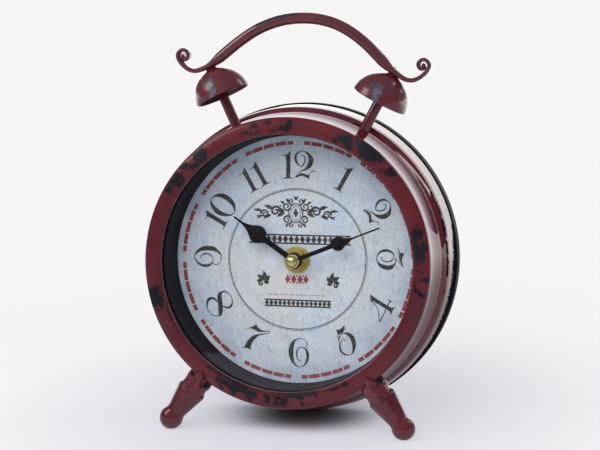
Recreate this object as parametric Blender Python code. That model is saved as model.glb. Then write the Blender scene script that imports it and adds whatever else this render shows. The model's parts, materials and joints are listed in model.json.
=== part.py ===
"""Decorative table clock with two dummy bells and a carrying handle.

Lengths below are millimetres in the case's own frame: X to the right seen from the front, Y from the
front of the case to its rear along the case's axis, Z up, origin at the middle of the bezel's front
edge. The case frame leans back on the floor, which is Z = 0 of the world. Left and right are as seen
from the front.
"""
import math

import bmesh
import bpy
from mathutils import Matrix, Vector

MM = 0.001
GAP = 0.3

# Case, front to rear
BEZEL_R = 80.0
BEZEL_HOLE_R = 70.5
BEZEL_DOME = 1.9
SKIRT_END = 4.0
GLASS_R = 74.0
GLASS_Y = (1.7, 3.7)
PAN_WALL_R = 69.5
PAN_FLANGE_Y = 4.0
PAN_FLANGE_R = 77.0
PAN_FLOOR_Y = 29.6
DIAL_R = 69.2
DIAL_Y = 28.5
DIAL_THICK = 0.8
WALL_R = 79.7
RIDGE_R, RIDGE_Y = 80.9, 25.5
BULGE_R, BULGE_Y = 85.2, 33.5
BAND_R = 84.8
CASE_END = 47.3
FLANGE_R = 86.0
RIM_R = 87.0
RIM_END = 57.5
COVER_Y = 47.6
COVER_THICK = 1.2
COVER_OPENING = 62.0
COVER_SCREW_AT = 80.5

# The middle of the part's own box stands over the world's origin
STAND_Y = -27.51

# Feet
FOOT_ANGLE = 36.7
FOOT_Y = 5.0
BALL_AT = 109.8
BALL_R = 6.5
BALL_FLAT = 0.6
CROWN_AT = 80.6
CROWN_R = 7.65
FOOT_SCREW_Y = 10.8

# Posts, bells and handle, all in one plane behind the bezel
POST_ANGLE = 26.3
TOP_SKEW = 1.2
PLANE_Y = 25.0
POST_R = 3.0
POST_FOOT_AT = 74.5
BELL_RIM_AT = 100.0
BELL_R = 16.0
BELL_WALL = 1.0
SPACER_HEIGHT = 1.2
TUBE_R = 3.2
STRIP_HALF_THICK = 1.15
STRIP_HALF_WIDTH = 4.75
SCREW_HOLE_R = 1.7

# Hands, in degrees clockwise from twelve
MINUTE_ANGLE = 68.0
HOUR_ANGLE = 304.5
HOUR_HAND_Y = 20.0
MINUTE_HAND_Y = 18.0
HAND_THICK = 0.7

# Movement
MOVE_HALF = 28.0
MOVE_WALL = 1.2
MOVE_FRONT = 31.9
MOVE_SPLIT = 40.0
MOVE_REAR = 48.0
BATTERY_R = 7.1
BATTERY_LENGTH = 50.0
BATTERY_Z = -18.9
BATTERY_Y = 40.7
ARBOR_STEP = 7.2
KNOB_R = 5.5

# Wheel teeth and modules
CANNON_TEETH, MINUTE_TEETH, MOTION_MODULE = 12, 36, 0.3
MINUTE_PINION_TEETH, HOUR_TEETH, HOUR_MODULE = 10, 40, 0.288
CENTRE_TEETH, THIRD_TEETH, SECONDS_TEETH, STEP_TEETH, PINION_TEETH = 64, 60, 48, 40, 8
CENTRE_MODULE = 2 * ARBOR_STEP / (CENTRE_TEETH + PINION_TEETH)
THIRD_MODULE = 2 * ARBOR_STEP / (THIRD_TEETH + PINION_TEETH)
SECONDS_MODULE = 0.2
STEP_MODULE = 0.18

# Where the arbors stand in the movement, as (x, z)
MINUTE_WHEEL_AT = (ARBOR_STEP, 0.0)
KNOB_AT = (2 * ARBOR_STEP, 0.0)
THIRD_AT = (-ARBOR_STEP * math.sin(math.radians(45)), ARBOR_STEP * math.cos(math.radians(45)))
STEP_AT = (0.0, SECONDS_MODULE * (SECONDS_TEETH + PINION_TEETH) / 2)
ROTOR_AT = (0.0, STEP_AT[1] + STEP_MODULE * (STEP_TEETH + PINION_TEETH) / 2)

# Roundness
CASE_SIDES = 48
BELL_SIDES = 20
SMALL_SIDES = 16
ROD_SIDES = 10

RED = (0.17, 0.028, 0.034)
BLACK = (0.012, 0.014, 0.017)
BRASS = (0.73, 0.58, 0.22)
STEEL = (0.55, 0.55, 0.56)
PAPER = (0.56, 0.62, 0.67)
PLASTIC = (0.02, 0.02, 0.022)
WHITE_PLASTIC = (0.75, 0.75, 0.72)
COPPER = (0.75, 0.32, 0.12)
GREEN = (0.03, 0.2, 0.06)


def clear_scene():
    for item in list(bpy.data.objects):
        bpy.data.objects.remove(item, do_unlink=True)


def material(name, colour, roughness, metallic=0.0, transmission=0.0):
    made = bpy.data.materials.new(name)
    made.use_nodes = True
    shader = made.node_tree.nodes["Principled BSDF"]
    shader.inputs["Base Color"].default_value = (*colour, 1.0)
    shader.inputs["Roughness"].default_value = roughness
    shader.inputs["Metallic"].default_value = metallic
    shader.inputs["Transmission Weight"].default_value = transmission
    return made


def empty(name, parent=None, place=(0.0, 0.0, 0.0)):
    made = bpy.data.objects.new(name, None)
    bpy.context.scene.collection.objects.link(made)
    made.parent = parent
    made.location = Vector(place) * MM
    return made


def piece(name, bm, look, parent, place=(0.0, 0.0, 0.0), turn=0.0):
    """Object from a bmesh; turn is its angle about the case's axis, clockwise from the front."""
    bmesh.ops.remove_doubles(bm, verts=bm.verts, dist=1e-7)
    bmesh.ops.recalc_face_normals(bm, faces=bm.faces)
    mesh = bpy.data.meshes.new(name)
    bm.to_mesh(mesh)
    bm.free()
    mesh.shade_smooth()
    mesh.set_sharp_from_angle(angle=math.radians(35))
    mesh.materials.append(look)
    made = bpy.data.objects.new(name, mesh)
    bpy.context.scene.collection.objects.link(made)
    made.parent = parent
    made.location = Vector(place) * MM
    made.rotation_euler = (0.0, math.radians(turn), 0.0)
    return made


def tool(name, bm, parent, place=(0.0, 0.0, 0.0), turn=0.0):
    made = piece(name, bm, LOOKS["tool"], parent, place, turn)
    made.hide_render = True
    made.display_type = "WIRE"
    return made


def combine(target, other, operation):
    step = target.modifiers.new(other.name, "BOOLEAN")
    step.operation = operation
    step.object = other
    step.solver = "EXACT"


def turned(profile, sides, axis=(0, 1, 0)):
    """Turned body from a closed profile of (radius, station along the axis)."""
    bm = bmesh.new()
    along = Vector(axis)
    out = Vector((1, 0, 0))
    corners = [bm.verts.new((out * radius + along * station) * MM) for radius, station in profile]
    edges = [bm.edges.new((a, b)) for a, b in zip(corners, corners[1:] + corners[:1])]
    bmesh.ops.spin(
        bm, geom=corners + edges, cent=(0, 0, 0), axis=along,
        angle=math.tau, steps=sides, use_merge=True, use_duplicate=False)
    return bm


def turned_solid(profile, sides, axis=(0, 1, 0)):
    """Turned body whose open profile begins and ends on the axis."""
    bm = bmesh.new()
    along = Vector(axis)
    out = Vector((1, 0, 0))
    corners = [bm.verts.new((out * radius + along * station) * MM) for radius, station in profile]
    edges = [bm.edges.new(pair) for pair in zip(corners, corners[1:])]
    bmesh.ops.spin(
        bm, geom=corners + edges, cent=(0, 0, 0), axis=along,
        angle=math.tau, steps=sides, use_merge=True, use_duplicate=False)
    bmesh.ops.remove_doubles(bm, verts=bm.verts, dist=1e-7)
    return bm


def prism(outline, front, rear):
    """Plate with an outline of (x, z), from one depth to another."""
    bm = bmesh.new()
    face = bm.faces.new([bm.verts.new((x * MM, front * MM, z * MM)) for x, z in outline])
    grown = bmesh.ops.extrude_face_region(bm, geom=[face])
    moved = [item for item in grown["geom"] if isinstance(item, bmesh.types.BMVert)]
    bmesh.ops.translate(bm, vec=(0, (rear - front) * MM, 0), verts=moved)
    return bm


def box(low, high):
    bm = bmesh.new()
    low, high = Vector(low) * MM, Vector(high) * MM
    place = Matrix.Translation((low + high) / 2) @ Matrix.Diagonal((*(high - low), 1.0))
    bmesh.ops.create_cube(bm, size=1.0, matrix=place)
    return bm


def rods(items, sides=ROD_SIDES):
    """Separate plain rods in one mesh, each (start, direction, length, radius)."""
    bm = bmesh.new()
    for start, direction, length, radius in items:
        direction = Vector(direction).normalized()
        middle = (Vector(start) + direction * length / 2) * MM
        turn = Vector((0, 0, 1)).rotation_difference(direction).to_matrix().to_4x4()
        bmesh.ops.create_cone(
            bm, cap_ends=True, segments=sides, radius1=radius * MM, radius2=radius * MM,
            depth=length * MM, matrix=Matrix.Translation(middle) @ turn)
    return bm


def arc(centre, radius, start, end, steps):
    """Points on an arc, in degrees from +x towards +z."""
    points = []
    for i in range(steps + 1):
        angle = math.radians(start + (end - start) * i / steps)
        points.append((centre[0] + radius * math.cos(angle), centre[1] + radius * math.sin(angle)))
    return points


def ring_body(outer, inner, front, rear, sides=SMALL_SIDES):
    return turned([(outer, front), (outer, rear), (inner, rear), (inner, front)], sides)


def gear_outline(teeth, module, first, pointed=False):
    """Teeth as trapezia, or as plain points on the fine wheels; first is a tooth's angle from +x."""
    pitch_radius = teeth * module / 2
    tip, root = pitch_radius + 0.85 * module, pitch_radius - 1.15 * module
    step = math.tau / teeth
    shape = [(-0.5, root), (0.0, tip)] if pointed else [
        (-0.3, root), (-0.11, tip), (0.11, tip), (0.3, root)]
    points = []
    for tooth in range(teeth):
        for share, radius in shape:
            angle = first + (tooth + share) * step
            points.append((radius * math.cos(angle), radius * math.sin(angle)))
    return points


def mesh_phase(first, teeth, mate_teeth, direction):
    """Tooth angle of the mate that stands in this direction, so that its teeth meet the gaps."""
    return direction + math.pi - (teeth / mate_teeth) * (first - direction) - math.pi / mate_teeth


def lean():
    """Angle at which the foot balls and the rear rim all touch the floor."""
    ball = Vector((FOOT_Y, -BALL_AT * math.cos(math.radians(FOOT_ANGLE))))
    rim = Vector((RIM_END - 0.6, -RIM_R))
    along = rim - ball
    return math.atan2(along.y, along.x) + math.asin((BALL_R - BALL_FLAT) / along.length)


def smooth_route(points, steps):
    """Catmull-Rom curve through (x, z) points."""
    ends = [Vector(points[0]) * 2 - Vector(points[1])] + [Vector(p) for p in points]
    ends.append(Vector(points[-1]) * 2 - Vector(points[-2]))
    route = []
    for a, b, c, d in zip(ends, ends[1:], ends[2:], ends[3:]):
        for i in range(steps):
            t = i / steps
            route.append(0.5 * (2 * b + (c - a) * t + (2 * a - 5 * b + 4 * c - d) * t ** 2
                                + (3 * b - a - 3 * c + d) * t ** 3))
    route.append(Vector(points[-1]))
    return route


def radial(angle, distance, depth):
    """Point at a clockwise angle from twelve and a distance from the case's axis."""
    turn = math.radians(angle)
    return Vector((math.sin(turn) * distance, depth, math.cos(turn) * distance))


def post_turn(side):
    """Each post's angle; the whole top group is bent a little clockwise on the case."""
    return side * POST_ANGLE + TOP_SKEW


def bezel(parent):
    profile = [
        (79.0, SKIRT_END), (BEZEL_R, SKIRT_END), (BEZEL_R, 0.8), (79.3, 0.0), (76.5, -1.4),
        (73.0, -BEZEL_DOME), (71.0, -1.7), (BEZEL_HOLE_R, -1.1), (70.4, 1.4), (71.4, 1.4),
        (73.0, -0.7), (79.0, 1.2)]
    return piece("bezel", turned(profile, CASE_SIDES), LOOKS["red"], parent)


def front_glass(parent):
    return piece("front_glass", turned_solid(
        [(0, GLASS_Y[0]), (GLASS_R, GLASS_Y[0]), (GLASS_R, GLASS_Y[1]), (0, GLASS_Y[1])],
        CASE_SIDES), LOOKS["glass"], parent)


def dial_pan(parent):
    """Black pressed pan: a flange behind the glass, a straight wall, and a floor under the dial."""
    floor_rear = PAN_FLOOR_Y + 1.0
    profile = [
        (PAN_FLANGE_R, PAN_FLANGE_Y), (70.9, PAN_FLANGE_Y), (70.1, 4.6), (69.7, 6.5),
        (PAN_WALL_R, PAN_FLOOR_Y), (4.6, PAN_FLOOR_Y), (4.6, floor_rear), (70.5, floor_rear),
        (70.9, 6.8), (71.4, 5.4), (PAN_FLANGE_R, 5.4)]
    return piece("dial_pan", turned(profile, CASE_SIDES), LOOKS["black"], parent)


def dial(parent):
    return piece("dial", ring_body(DIAL_R, 4.2, DIAL_Y, DIAL_Y + DIAL_THICK, CASE_SIDES),
                 LOOKS["paper"], parent)


def cover_screw_points():
    return [radial(angle, COVER_SCREW_AT, 0.0) for angle in (45, 135, 225, 315)]


def case_body(parent):
    """Pressed drum: plain front wall, ridge, round bulge, plain band and a flange at each end."""
    outside = [
        (78.6, 1.5), (78.6, 4.3), (WALL_R, 4.5), (79.5, 13.0), (79.8, 19.5), (RIDGE_R, RIDGE_Y),
        (80.7, 26.7), (82.9, 28.3), (84.5, 30.8), (BULGE_R, BULGE_Y), (BAND_R, 37.4),
        (BAND_R, 45.0), (FLANGE_R, 46.3), (FLANGE_R, CASE_END)]
    rear_flange = [(76.0, CASE_END), (76.0, 46.2), (83.6, 46.2)]
    inside = [(83.6, 35.0), (79.5, 27.8), (78.4, 18.0), (78.4, 6.9)]
    front_flange = [(72.5, 6.9), (72.5, 5.8), (77.5, 5.8), (77.5, 1.5)]
    body = piece("case_body", turned(outside + rear_flange + inside + front_flange, CASE_SIDES),
                 LOOKS["red"], parent)
    holes = []
    for side in (-1, 1):
        post = radial(post_turn(side), 70.0, PLANE_Y)
        holes.append((post, post - Vector((0, PLANE_Y, 0)), 16.0, POST_R + GAP))
        screw = radial(180 - side * FOOT_ANGLE, 74.0, FOOT_SCREW_Y)
        holes.append((screw, screw - Vector((0, FOOT_SCREW_Y, 0)), 8.0, 1.5))
    for point in cover_screw_points():
        holes.append((point + Vector((0, 44.0, 0)), (0, 1, 0), 6.0, 1.5))
    combine(body, tool("case_holes", rods(holes), parent), "DIFFERENCE")
    return body


def rear_cover(parent):
    """Black dish whose panel is set in, with a square opening over the movement."""
    panel_rear = COVER_Y + COVER_THICK
    profile = [
        (86.4, COVER_Y), (RIM_R, COVER_Y + 1.0), (RIM_R, RIM_END - 0.6), (86.5, RIM_END),
        (85.9, RIM_END), (85.5, RIM_END - 0.6), (85.5, panel_rear + 0.9), (84.6, panel_rear),
        (20.0, panel_rear), (20.0, COVER_Y)]
    cover = piece("rear_cover", turned(profile, CASE_SIDES), LOOKS["black"], parent)
    half = COVER_OPENING / 2
    opening = tool("cover_opening", box((-half, 44, -half), (half, 54, half)), parent)
    combine(cover, opening, "DIFFERENCE")
    holes = [(point + Vector((0, 44.0, 0)), (0, 1, 0), 8.0, 1.5) for point in cover_screw_points()]
    combine(cover, tool("cover_holes", rods(holes), parent), "DIFFERENCE")
    return cover


def cover_screws(parent):
    head = COVER_Y + COVER_THICK + GAP / 2
    profile = [
        (0, 42.0), (0.6, 42.0), (1.2, 43.1), (1.2, head), (2.9, head), (2.7, head + 0.9),
        (1.6, head + 1.6), (0, head + 1.8)]
    for i, point in enumerate(cover_screw_points()):
        piece(f"cover_screw_{i + 1}", turned_solid(profile, ROD_SIDES), LOOKS["steel"], parent, point)


def foot(name, side, parent, floor):
    """Cast foot: flattened ball, tapered leg, collar, and a notched crown under the bezel's rim."""
    turn = 180 - side * FOOT_ANGLE
    ball = [(BALL_R * math.sin(a), BALL_AT + BALL_R * math.cos(a))
            for a in (math.radians(d) for d in (0, 22, 44, 66, 90, 106, 122))]
    profile = ball + [
        (5.5, 105.4), (8.0, 91.4), (7.8, 90.2), (7.0, 89.4), (6.9, 88.4),
        (CROWN_R, 86.0), (CROWN_R, CROWN_AT), (0, CROWN_AT)]
    place = (0, FOOT_Y, 0)
    made = piece(name, turned_solid(profile, SMALL_SIDES, axis=(0, 0, 1)), LOOKS["red"],
                 parent, place, turn)
    front = 2.15 + FOOT_Y
    lug = box((-2.7, -front - 1.6, 75.2), (2.7, -front, 86.5))
    combine(made, tool(f"{name}_lug", lug, parent, place, turn), "UNION")
    bead = bmesh.new()
    bmesh.ops.create_uvsphere(
        bead, u_segments=10, v_segments=6, radius=1.9 * MM,
        matrix=Matrix.Translation(Vector((0, -front - 1.2, 77.6)) * MM))
    combine(made, tool(f"{name}_bead", bead, parent, place, turn), "UNION")
    for i, across in enumerate((-1, 1)):
        notch = box((across * 5.2 - 1.5, -9.0, 79.0), (across * 5.2 + 1.5, 9.0, 83.6))
        combine(made, tool(f"{name}_notch_{i + 1}", notch, parent, place, turn), "DIFFERENCE")
    bore = rods([((0, FOOT_SCREW_Y - FOOT_Y, 79.0), (0, 0, 1), 8.2, 1.5)])
    combine(made, tool(f"{name}_bore", bore, parent, place, turn), "DIFFERENCE")
    combine(made, floor, "DIFFERENCE")
    return made


def foot_screw(name, side, parent):
    profile = [(0, 74.3), (1.6, 74.5), (2.3, 75.4), (2.3, 76.4), (1.2, 76.4), (1.2, 86.2), (0, 86.8)]
    piece(name, turned_solid(profile, ROD_SIDES, axis=(0, 0, 1)), LOOKS["steel"], parent,
          (0, FOOT_SCREW_Y, 0), 180 - side * FOOT_ANGLE)


def post(name, side, parent):
    """Round rod through the case wall, bored at its top for the handle screw."""
    top = BELL_RIM_AT + BELL_R - BELL_WALL - GAP
    profile = [
        (0, POST_FOOT_AT), (2.4, POST_FOOT_AT), (POST_R, 75.2), (POST_R, top - 0.3),
        (POST_R - 0.3, top), (1.6, top), (1.6, top - 7.0), (0, top - 7.0)]
    piece(name, turned_solid(profile, ROD_SIDES, axis=(0, 0, 1)), LOOKS["red"], parent,
          (0, PLANE_Y, 0), post_turn(side))


def post_nut(name, side, parent):
    """Hexagon nut on the post inside the case wall."""
    across = 5.2
    outline = [(across * math.cos(math.radians(60 * i)), across * math.sin(math.radians(60 * i)))
               for i in range(6)]
    bm = prism(outline, 0.0, 2.0)
    bmesh.ops.rotate(bm, verts=bm.verts, cent=(0, 0, 0), matrix=Matrix.Rotation(math.radians(90), 3, "X"))
    bmesh.ops.translate(bm, verts=bm.verts, vec=(0, 0, 75.6 * MM))
    place, turn = (0, PLANE_Y, 0), post_turn(side)
    made = piece(name, bm, LOOKS["steel"], parent, place, turn)
    bore = rods([((0, 0, 74.0), (0, 0, 1), 6.0, POST_R + GAP / 2)])
    combine(made, tool(f"{name}_bore", bore, parent, place, turn), "DIFFERENCE")


def bell(name, side, parent):
    inner = BELL_R - BELL_WALL
    angles = [math.radians(a) for a in (0, 18, 36, 54, 70, 83)]
    outside = [(BELL_R * math.cos(a), BELL_RIM_AT + BELL_R * math.sin(a)) for a in angles]
    inside = [(inner * math.cos(a), BELL_RIM_AT + inner * math.sin(a)) for a in reversed(angles)]
    profile = outside + [
        (SCREW_HOLE_R, BELL_RIM_AT + BELL_R), (SCREW_HOLE_R, BELL_RIM_AT + inner)] + inside
    piece(name, turned(profile, BELL_SIDES, axis=(0, 0, 1)), LOOKS["red"], parent,
          (0, PLANE_Y, 0), post_turn(side))


def spacer(name, side, parent):
    low = BELL_RIM_AT + BELL_R + GAP
    profile = [(2.6, low), (2.6, low + SPACER_HEIGHT), (SCREW_HOLE_R, low + SPACER_HEIGHT),
               (SCREW_HOLE_R, low)]
    piece(name, turned(profile, ROD_SIDES, axis=(0, 0, 1)), LOOKS["red"], parent,
          (0, PLANE_Y, 0), post_turn(side))


def strip_middle():
    """Distance from the case's axis to the middle of the handle's flat end."""
    return BELL_RIM_AT + BELL_R + GAP + SPACER_HEIGHT + GAP + STRIP_HALF_THICK


def handle_screw(name, side, parent):
    head = strip_middle() + STRIP_HALF_THICK + GAP
    profile = [(0, 110.5), (1.0, 110.5), (1.35, 111.2), (1.35, head), (2.3, head), (2.1, head + 0.7),
               (1.2, head + 1.2), (0, head + 1.3)]
    piece(name, turned_solid(profile, ROD_SIDES, axis=(0, 0, 1)), LOOKS["red"], parent,
          (0, PLANE_Y, 0), post_turn(side))


def handle_half():
    """Middle line of the right half, from the crown of the arch to the heart of the scroll."""
    middle = radial(POST_ANGLE, strip_middle(), 0.0)
    joint = Vector((middle.x, middle.z))
    level = Vector((joint.y, -joint.x)).normalized() * 3.0
    arch = [(0.0, 135.7), (9.0, 135.1), (17.5, 133.3), (29.0, 127.9), (38.6, 120.4), (45.4, 113.8),
            tuple(joint - level)]
    scroll = [tuple(joint), tuple(joint + level), (60.6, 102.9), (65.3, 102.9), (69.3, 105.6),
              (71.2, 109.6), (70.6, 112.8), (68.4, 114.1), (66.2, 112.6), (66.2, 109.9),
              (68.0, 108.9), (68.6, 110.2)]
    return arch, scroll


def section_at(distance):
    """Half thickness, half width and squareness, by distance past the joint along the handle."""
    start, end = -9.5, -2.8
    share = min(max((distance - start) / (end - start), 0.0), 1.0)
    share = share * share * (3 - 2 * share)
    thick = TUBE_R + (STRIP_HALF_THICK - TUBE_R) * share
    width = TUBE_R + (STRIP_HALF_WIDTH - TUBE_R) * share
    if distance > 4.0:
        thinned = min((distance - 4.0) / 24.0, 1.0)
        thick -= 0.25 * thinned
        width -= 0.5 * thinned
    return thick, width, 1.0 - 0.45 * share


def sweep(route, sections, sides):
    """Bar along an (x, z) route in one plane; a section is half thickness, half width, squareness."""
    bm = bmesh.new()
    before = None
    last = len(route) - 1
    for i, (point, (thick, width, power)) in enumerate(zip(route, sections)):
        along = (route[min(i + 1, last)] - route[max(i - 1, 0)]).normalized()
        across = Vector((-along.y, along.x))
        ring = bmesh.ops.create_circle(bm, cap_ends=i in (0, last), segments=sides, radius=1.0)
        for vert in ring["verts"]:
            a = math.copysign(abs(vert.co.x) ** power, vert.co.x) * thick
            b = math.copysign(abs(vert.co.y) ** power, vert.co.y) * width
            vert.co = Vector((point.x + across.x * a, b, point.y + across.y * a)) * MM
        edges = list({edge for vert in ring["verts"] for edge in vert.link_edges})
        if before is not None:
            bmesh.ops.bridge_loops(bm, edges=before + edges)
        before = edges
    return bm


def handle(parent):
    """One bent tube, flattened at both ends, bored for the bell screws and curled into scrolls."""
    arch, scroll = handle_half()
    right = smooth_route(arch + scroll, 2)
    joint = Vector(scroll[0])
    lengths = [0.0]
    for a, b in zip(right, right[1:]):
        lengths.append(lengths[-1] + (b - a).length)
    nearest = min(range(len(right)), key=lambda i: (right[i] - joint).length)
    sections = [section_at(length - lengths[nearest]) for length in lengths]
    left = [Vector((-p.x, p.y)) for p in reversed(right[1:])]
    bm = sweep(left + right, sections[:0:-1] + sections, ROD_SIDES)
    made = piece("handle", bm, LOOKS["red"], parent, (0, PLANE_Y, 0), TOP_SKEW)
    bores = []
    for side in (-1, 1):
        start = radial(side * POST_ANGLE, strip_middle() - 4.0, 0.0)
        bores.append((start, start, 8.0, SCREW_HOLE_R))
    combine(made, tool("handle_bores", rods(bores), parent, (0, PLANE_Y, 0), TOP_SKEW), "DIFFERENCE")
    return made


def hand_outline(length, bulb_at, bulb_r, stem, tip, boss):
    """Pear hand pointing up: round boss, straight stem, round bulb, then an ogee to a fine tip."""
    base = math.degrees(math.acos(stem / 2 / boss))
    low = math.degrees(math.asin(stem / 2 / bulb_r))
    right = arc((0, bulb_at), bulb_r, low - 90, 28, 7)
    shoulder = right[-1]
    neck = (tip / 2, bulb_at + bulb_r * 2.55)
    for share in (0.25, 0.5, 0.75):
        eased = 1 - (1 - share) ** 1.9
        right.append((shoulder[0] + (neck[0] - shoulder[0]) * eased,
                      shoulder[1] + (neck[1] - shoulder[1]) * share))
    right += [neck, (tip / 2, length - 0.3), (tip / 4, length)]
    left = [(-x, z) for x, z in reversed(right)]
    return right + left + arc((0, 0), boss, 180 - base, 360 + base, 14)


def hand(name, outline, depth, bore_r, look, parent, turn):
    made = piece(name, prism(outline, depth, depth + HAND_THICK), look, parent, turn=turn)
    bore = rods([((0, depth - 2, 0), (0, 1, 0), 5.0, bore_r)], SMALL_SIDES)
    combine(made, tool(f"{name}_bore", bore, parent), "DIFFERENCE")
    return made


def centre_stack(parent):
    """Brass fixing of the movement on the dial, and the rubber washer behind the pan."""
    piece("dial_washer", ring_body(7.5, 4.1, 27.6, 28.2), LOOKS["brass"], parent)
    hexagon = prism(arc((0, 0), 6.2, 0, 300, 5), 25.2, 27.3)
    nut = piece("dial_nut", hexagon, LOOKS["brass"], parent)
    combine(nut, tool("dial_nut_bore", rods([((0, 24, 0), (0, 1, 0), 5.0, 4.05)], SMALL_SIDES), parent),
            "DIFFERENCE")
    bush = [(3.9, 24.2), (3.9, 33.6), (5.6, 33.6), (5.6, 34.0), (2.85, 34.0), (2.85, 24.2)]
    piece("threaded_bush", turned(bush, SMALL_SIDES), LOOKS["brass"], parent)
    piece("rubber_washer", ring_body(9.0, 4.2, 30.9, 31.6), LOOKS["plastic"], parent)


def movement_shells(parent):
    """Two plastic trays; the rear one is open over the battery and round the knob's shaft."""
    inner = MOVE_HALF - MOVE_WALL
    split = MOVE_SPLIT
    front = piece("movement_front_shell", box(
        (-MOVE_HALF, MOVE_FRONT, -MOVE_HALF), (MOVE_HALF, split, MOVE_HALF)), LOOKS["plastic"], parent)
    combine(front, tool("front_shell_space", box(
        (-inner, MOVE_FRONT + MOVE_WALL, -inner), (inner, split + 5, inner)), parent), "DIFFERENCE")
    combine(front, tool("front_shell_bore", rods(
        [((0, 30, 0), (0, 1, 0), 5.0, 4.2)], SMALL_SIDES), parent), "DIFFERENCE")
    rear = piece("movement_rear_shell", box(
        (-MOVE_HALF, split + GAP, -MOVE_HALF), (MOVE_HALF, MOVE_REAR, MOVE_HALF)),
        LOOKS["plastic"], parent)
    combine(rear, tool("rear_shell_space", box(
        (-inner, split - 5, -inner), (inner, MOVE_REAR - MOVE_WALL, inner)), parent), "DIFFERENCE")
    combine(rear, tool("battery_bay", box(
        (-26.3, MOVE_REAR - 4, -26.4), (26.3, MOVE_REAR + 4, -11.3)), parent), "DIFFERENCE")
    combine(rear, tool("knob_bore", rods(
        [((KNOB_AT[0], MOVE_REAR - 4, KNOB_AT[1]), (0, 1, 0), 8.0, 1.6)]), parent), "DIFFERENCE")


def battery(parent):
    """Single round cell lying across the bottom of the movement, button to the right."""
    half = BATTERY_LENGTH / 2
    profile = [(0, -half), (BATTERY_R - 0.4, -half), (BATTERY_R, -half + 0.5), (BATTERY_R, half - 1.9),
               (BATTERY_R - 0.6, half - 1.2), (2.7, half - 1.2), (2.7, half), (0, half)]
    bm = turned_solid(profile, SMALL_SIDES, axis=(0, 0, 1))
    bmesh.ops.rotate(bm, verts=bm.verts, cent=(0, 0, 0), matrix=Matrix.Rotation(math.radians(90), 3, "Y"))
    piece("battery", bm, LOOKS["cell"], parent, (0, BATTERY_Y, BATTERY_Z))


def battery_contacts(parent):
    for name, side in (("negative_contact", -1), ("positive_contact", 1)):
        edges = sorted((side * 25.6, side * 26.2))
        low = (edges[0], BATTERY_Y - 5.0, BATTERY_Z - 5.0)
        high = (edges[1], BATTERY_Y + 5.0, BATTERY_Z + 5.0)
        piece(name, box(low, high), LOOKS["steel"], parent)


def motor(parent):
    """Stepping motor: bobbin of wire, stator plate round the rotor's place, and the circuit board."""
    coil = [(1.4, -9.9), (4.2, -9.9), (4.2, -9.1), (3.5, -9.1), (3.5, 9.1), (4.2, 9.1), (4.2, 9.9),
            (1.4, 9.9)]
    bm = turned(coil, ROD_SIDES, axis=(0, 0, 1))
    bmesh.ops.rotate(bm, verts=bm.verts, cent=(0, 0, 0), matrix=Matrix.Rotation(math.radians(90), 3, "Y"))
    piece("coil", bm, LOOKS["copper"], parent, (0, 40.2, 20.6))
    outline = [(-13.4, 6.0), (13.4, 6.0), (13.4, 23.0), (10.5, 23.0), (10.5, 14.2), (-10.5, 14.2),
               (-10.5, 23.0), (-13.4, 23.0)]
    stator = piece("stator", prism(outline, 43.0, 44.0), LOOKS["steel"], parent)
    bore = rods([((ROTOR_AT[0], 40.0, ROTOR_AT[1]), (0, 1, 0), 8.0, 3.1)], SMALL_SIDES)
    combine(stator, tool("stator_bore", bore, parent), "DIFFERENCE")
    piece("circuit_board", box((-26.2, 42.0, -9.5), (-15.5, 43.0, 24.0)), LOOKS["green"], parent)


def wheel(name, parts, look, parent, turn=0.0):
    """Toothed piece united from overlapping parts that turn about one axis."""
    main = piece(name, parts[0], look, parent, turn=turn)
    for i, part in enumerate(parts[1:]):
        combine(main, tool(f"{name}_part_{i + 1}", part, parent, turn=turn), "UNION")
    return main


def arbor(radius, front, rear, sides=ROD_SIDES):
    return turned_solid([(0, front), (radius, front), (radius, rear), (0, rear)], sides)


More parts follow.
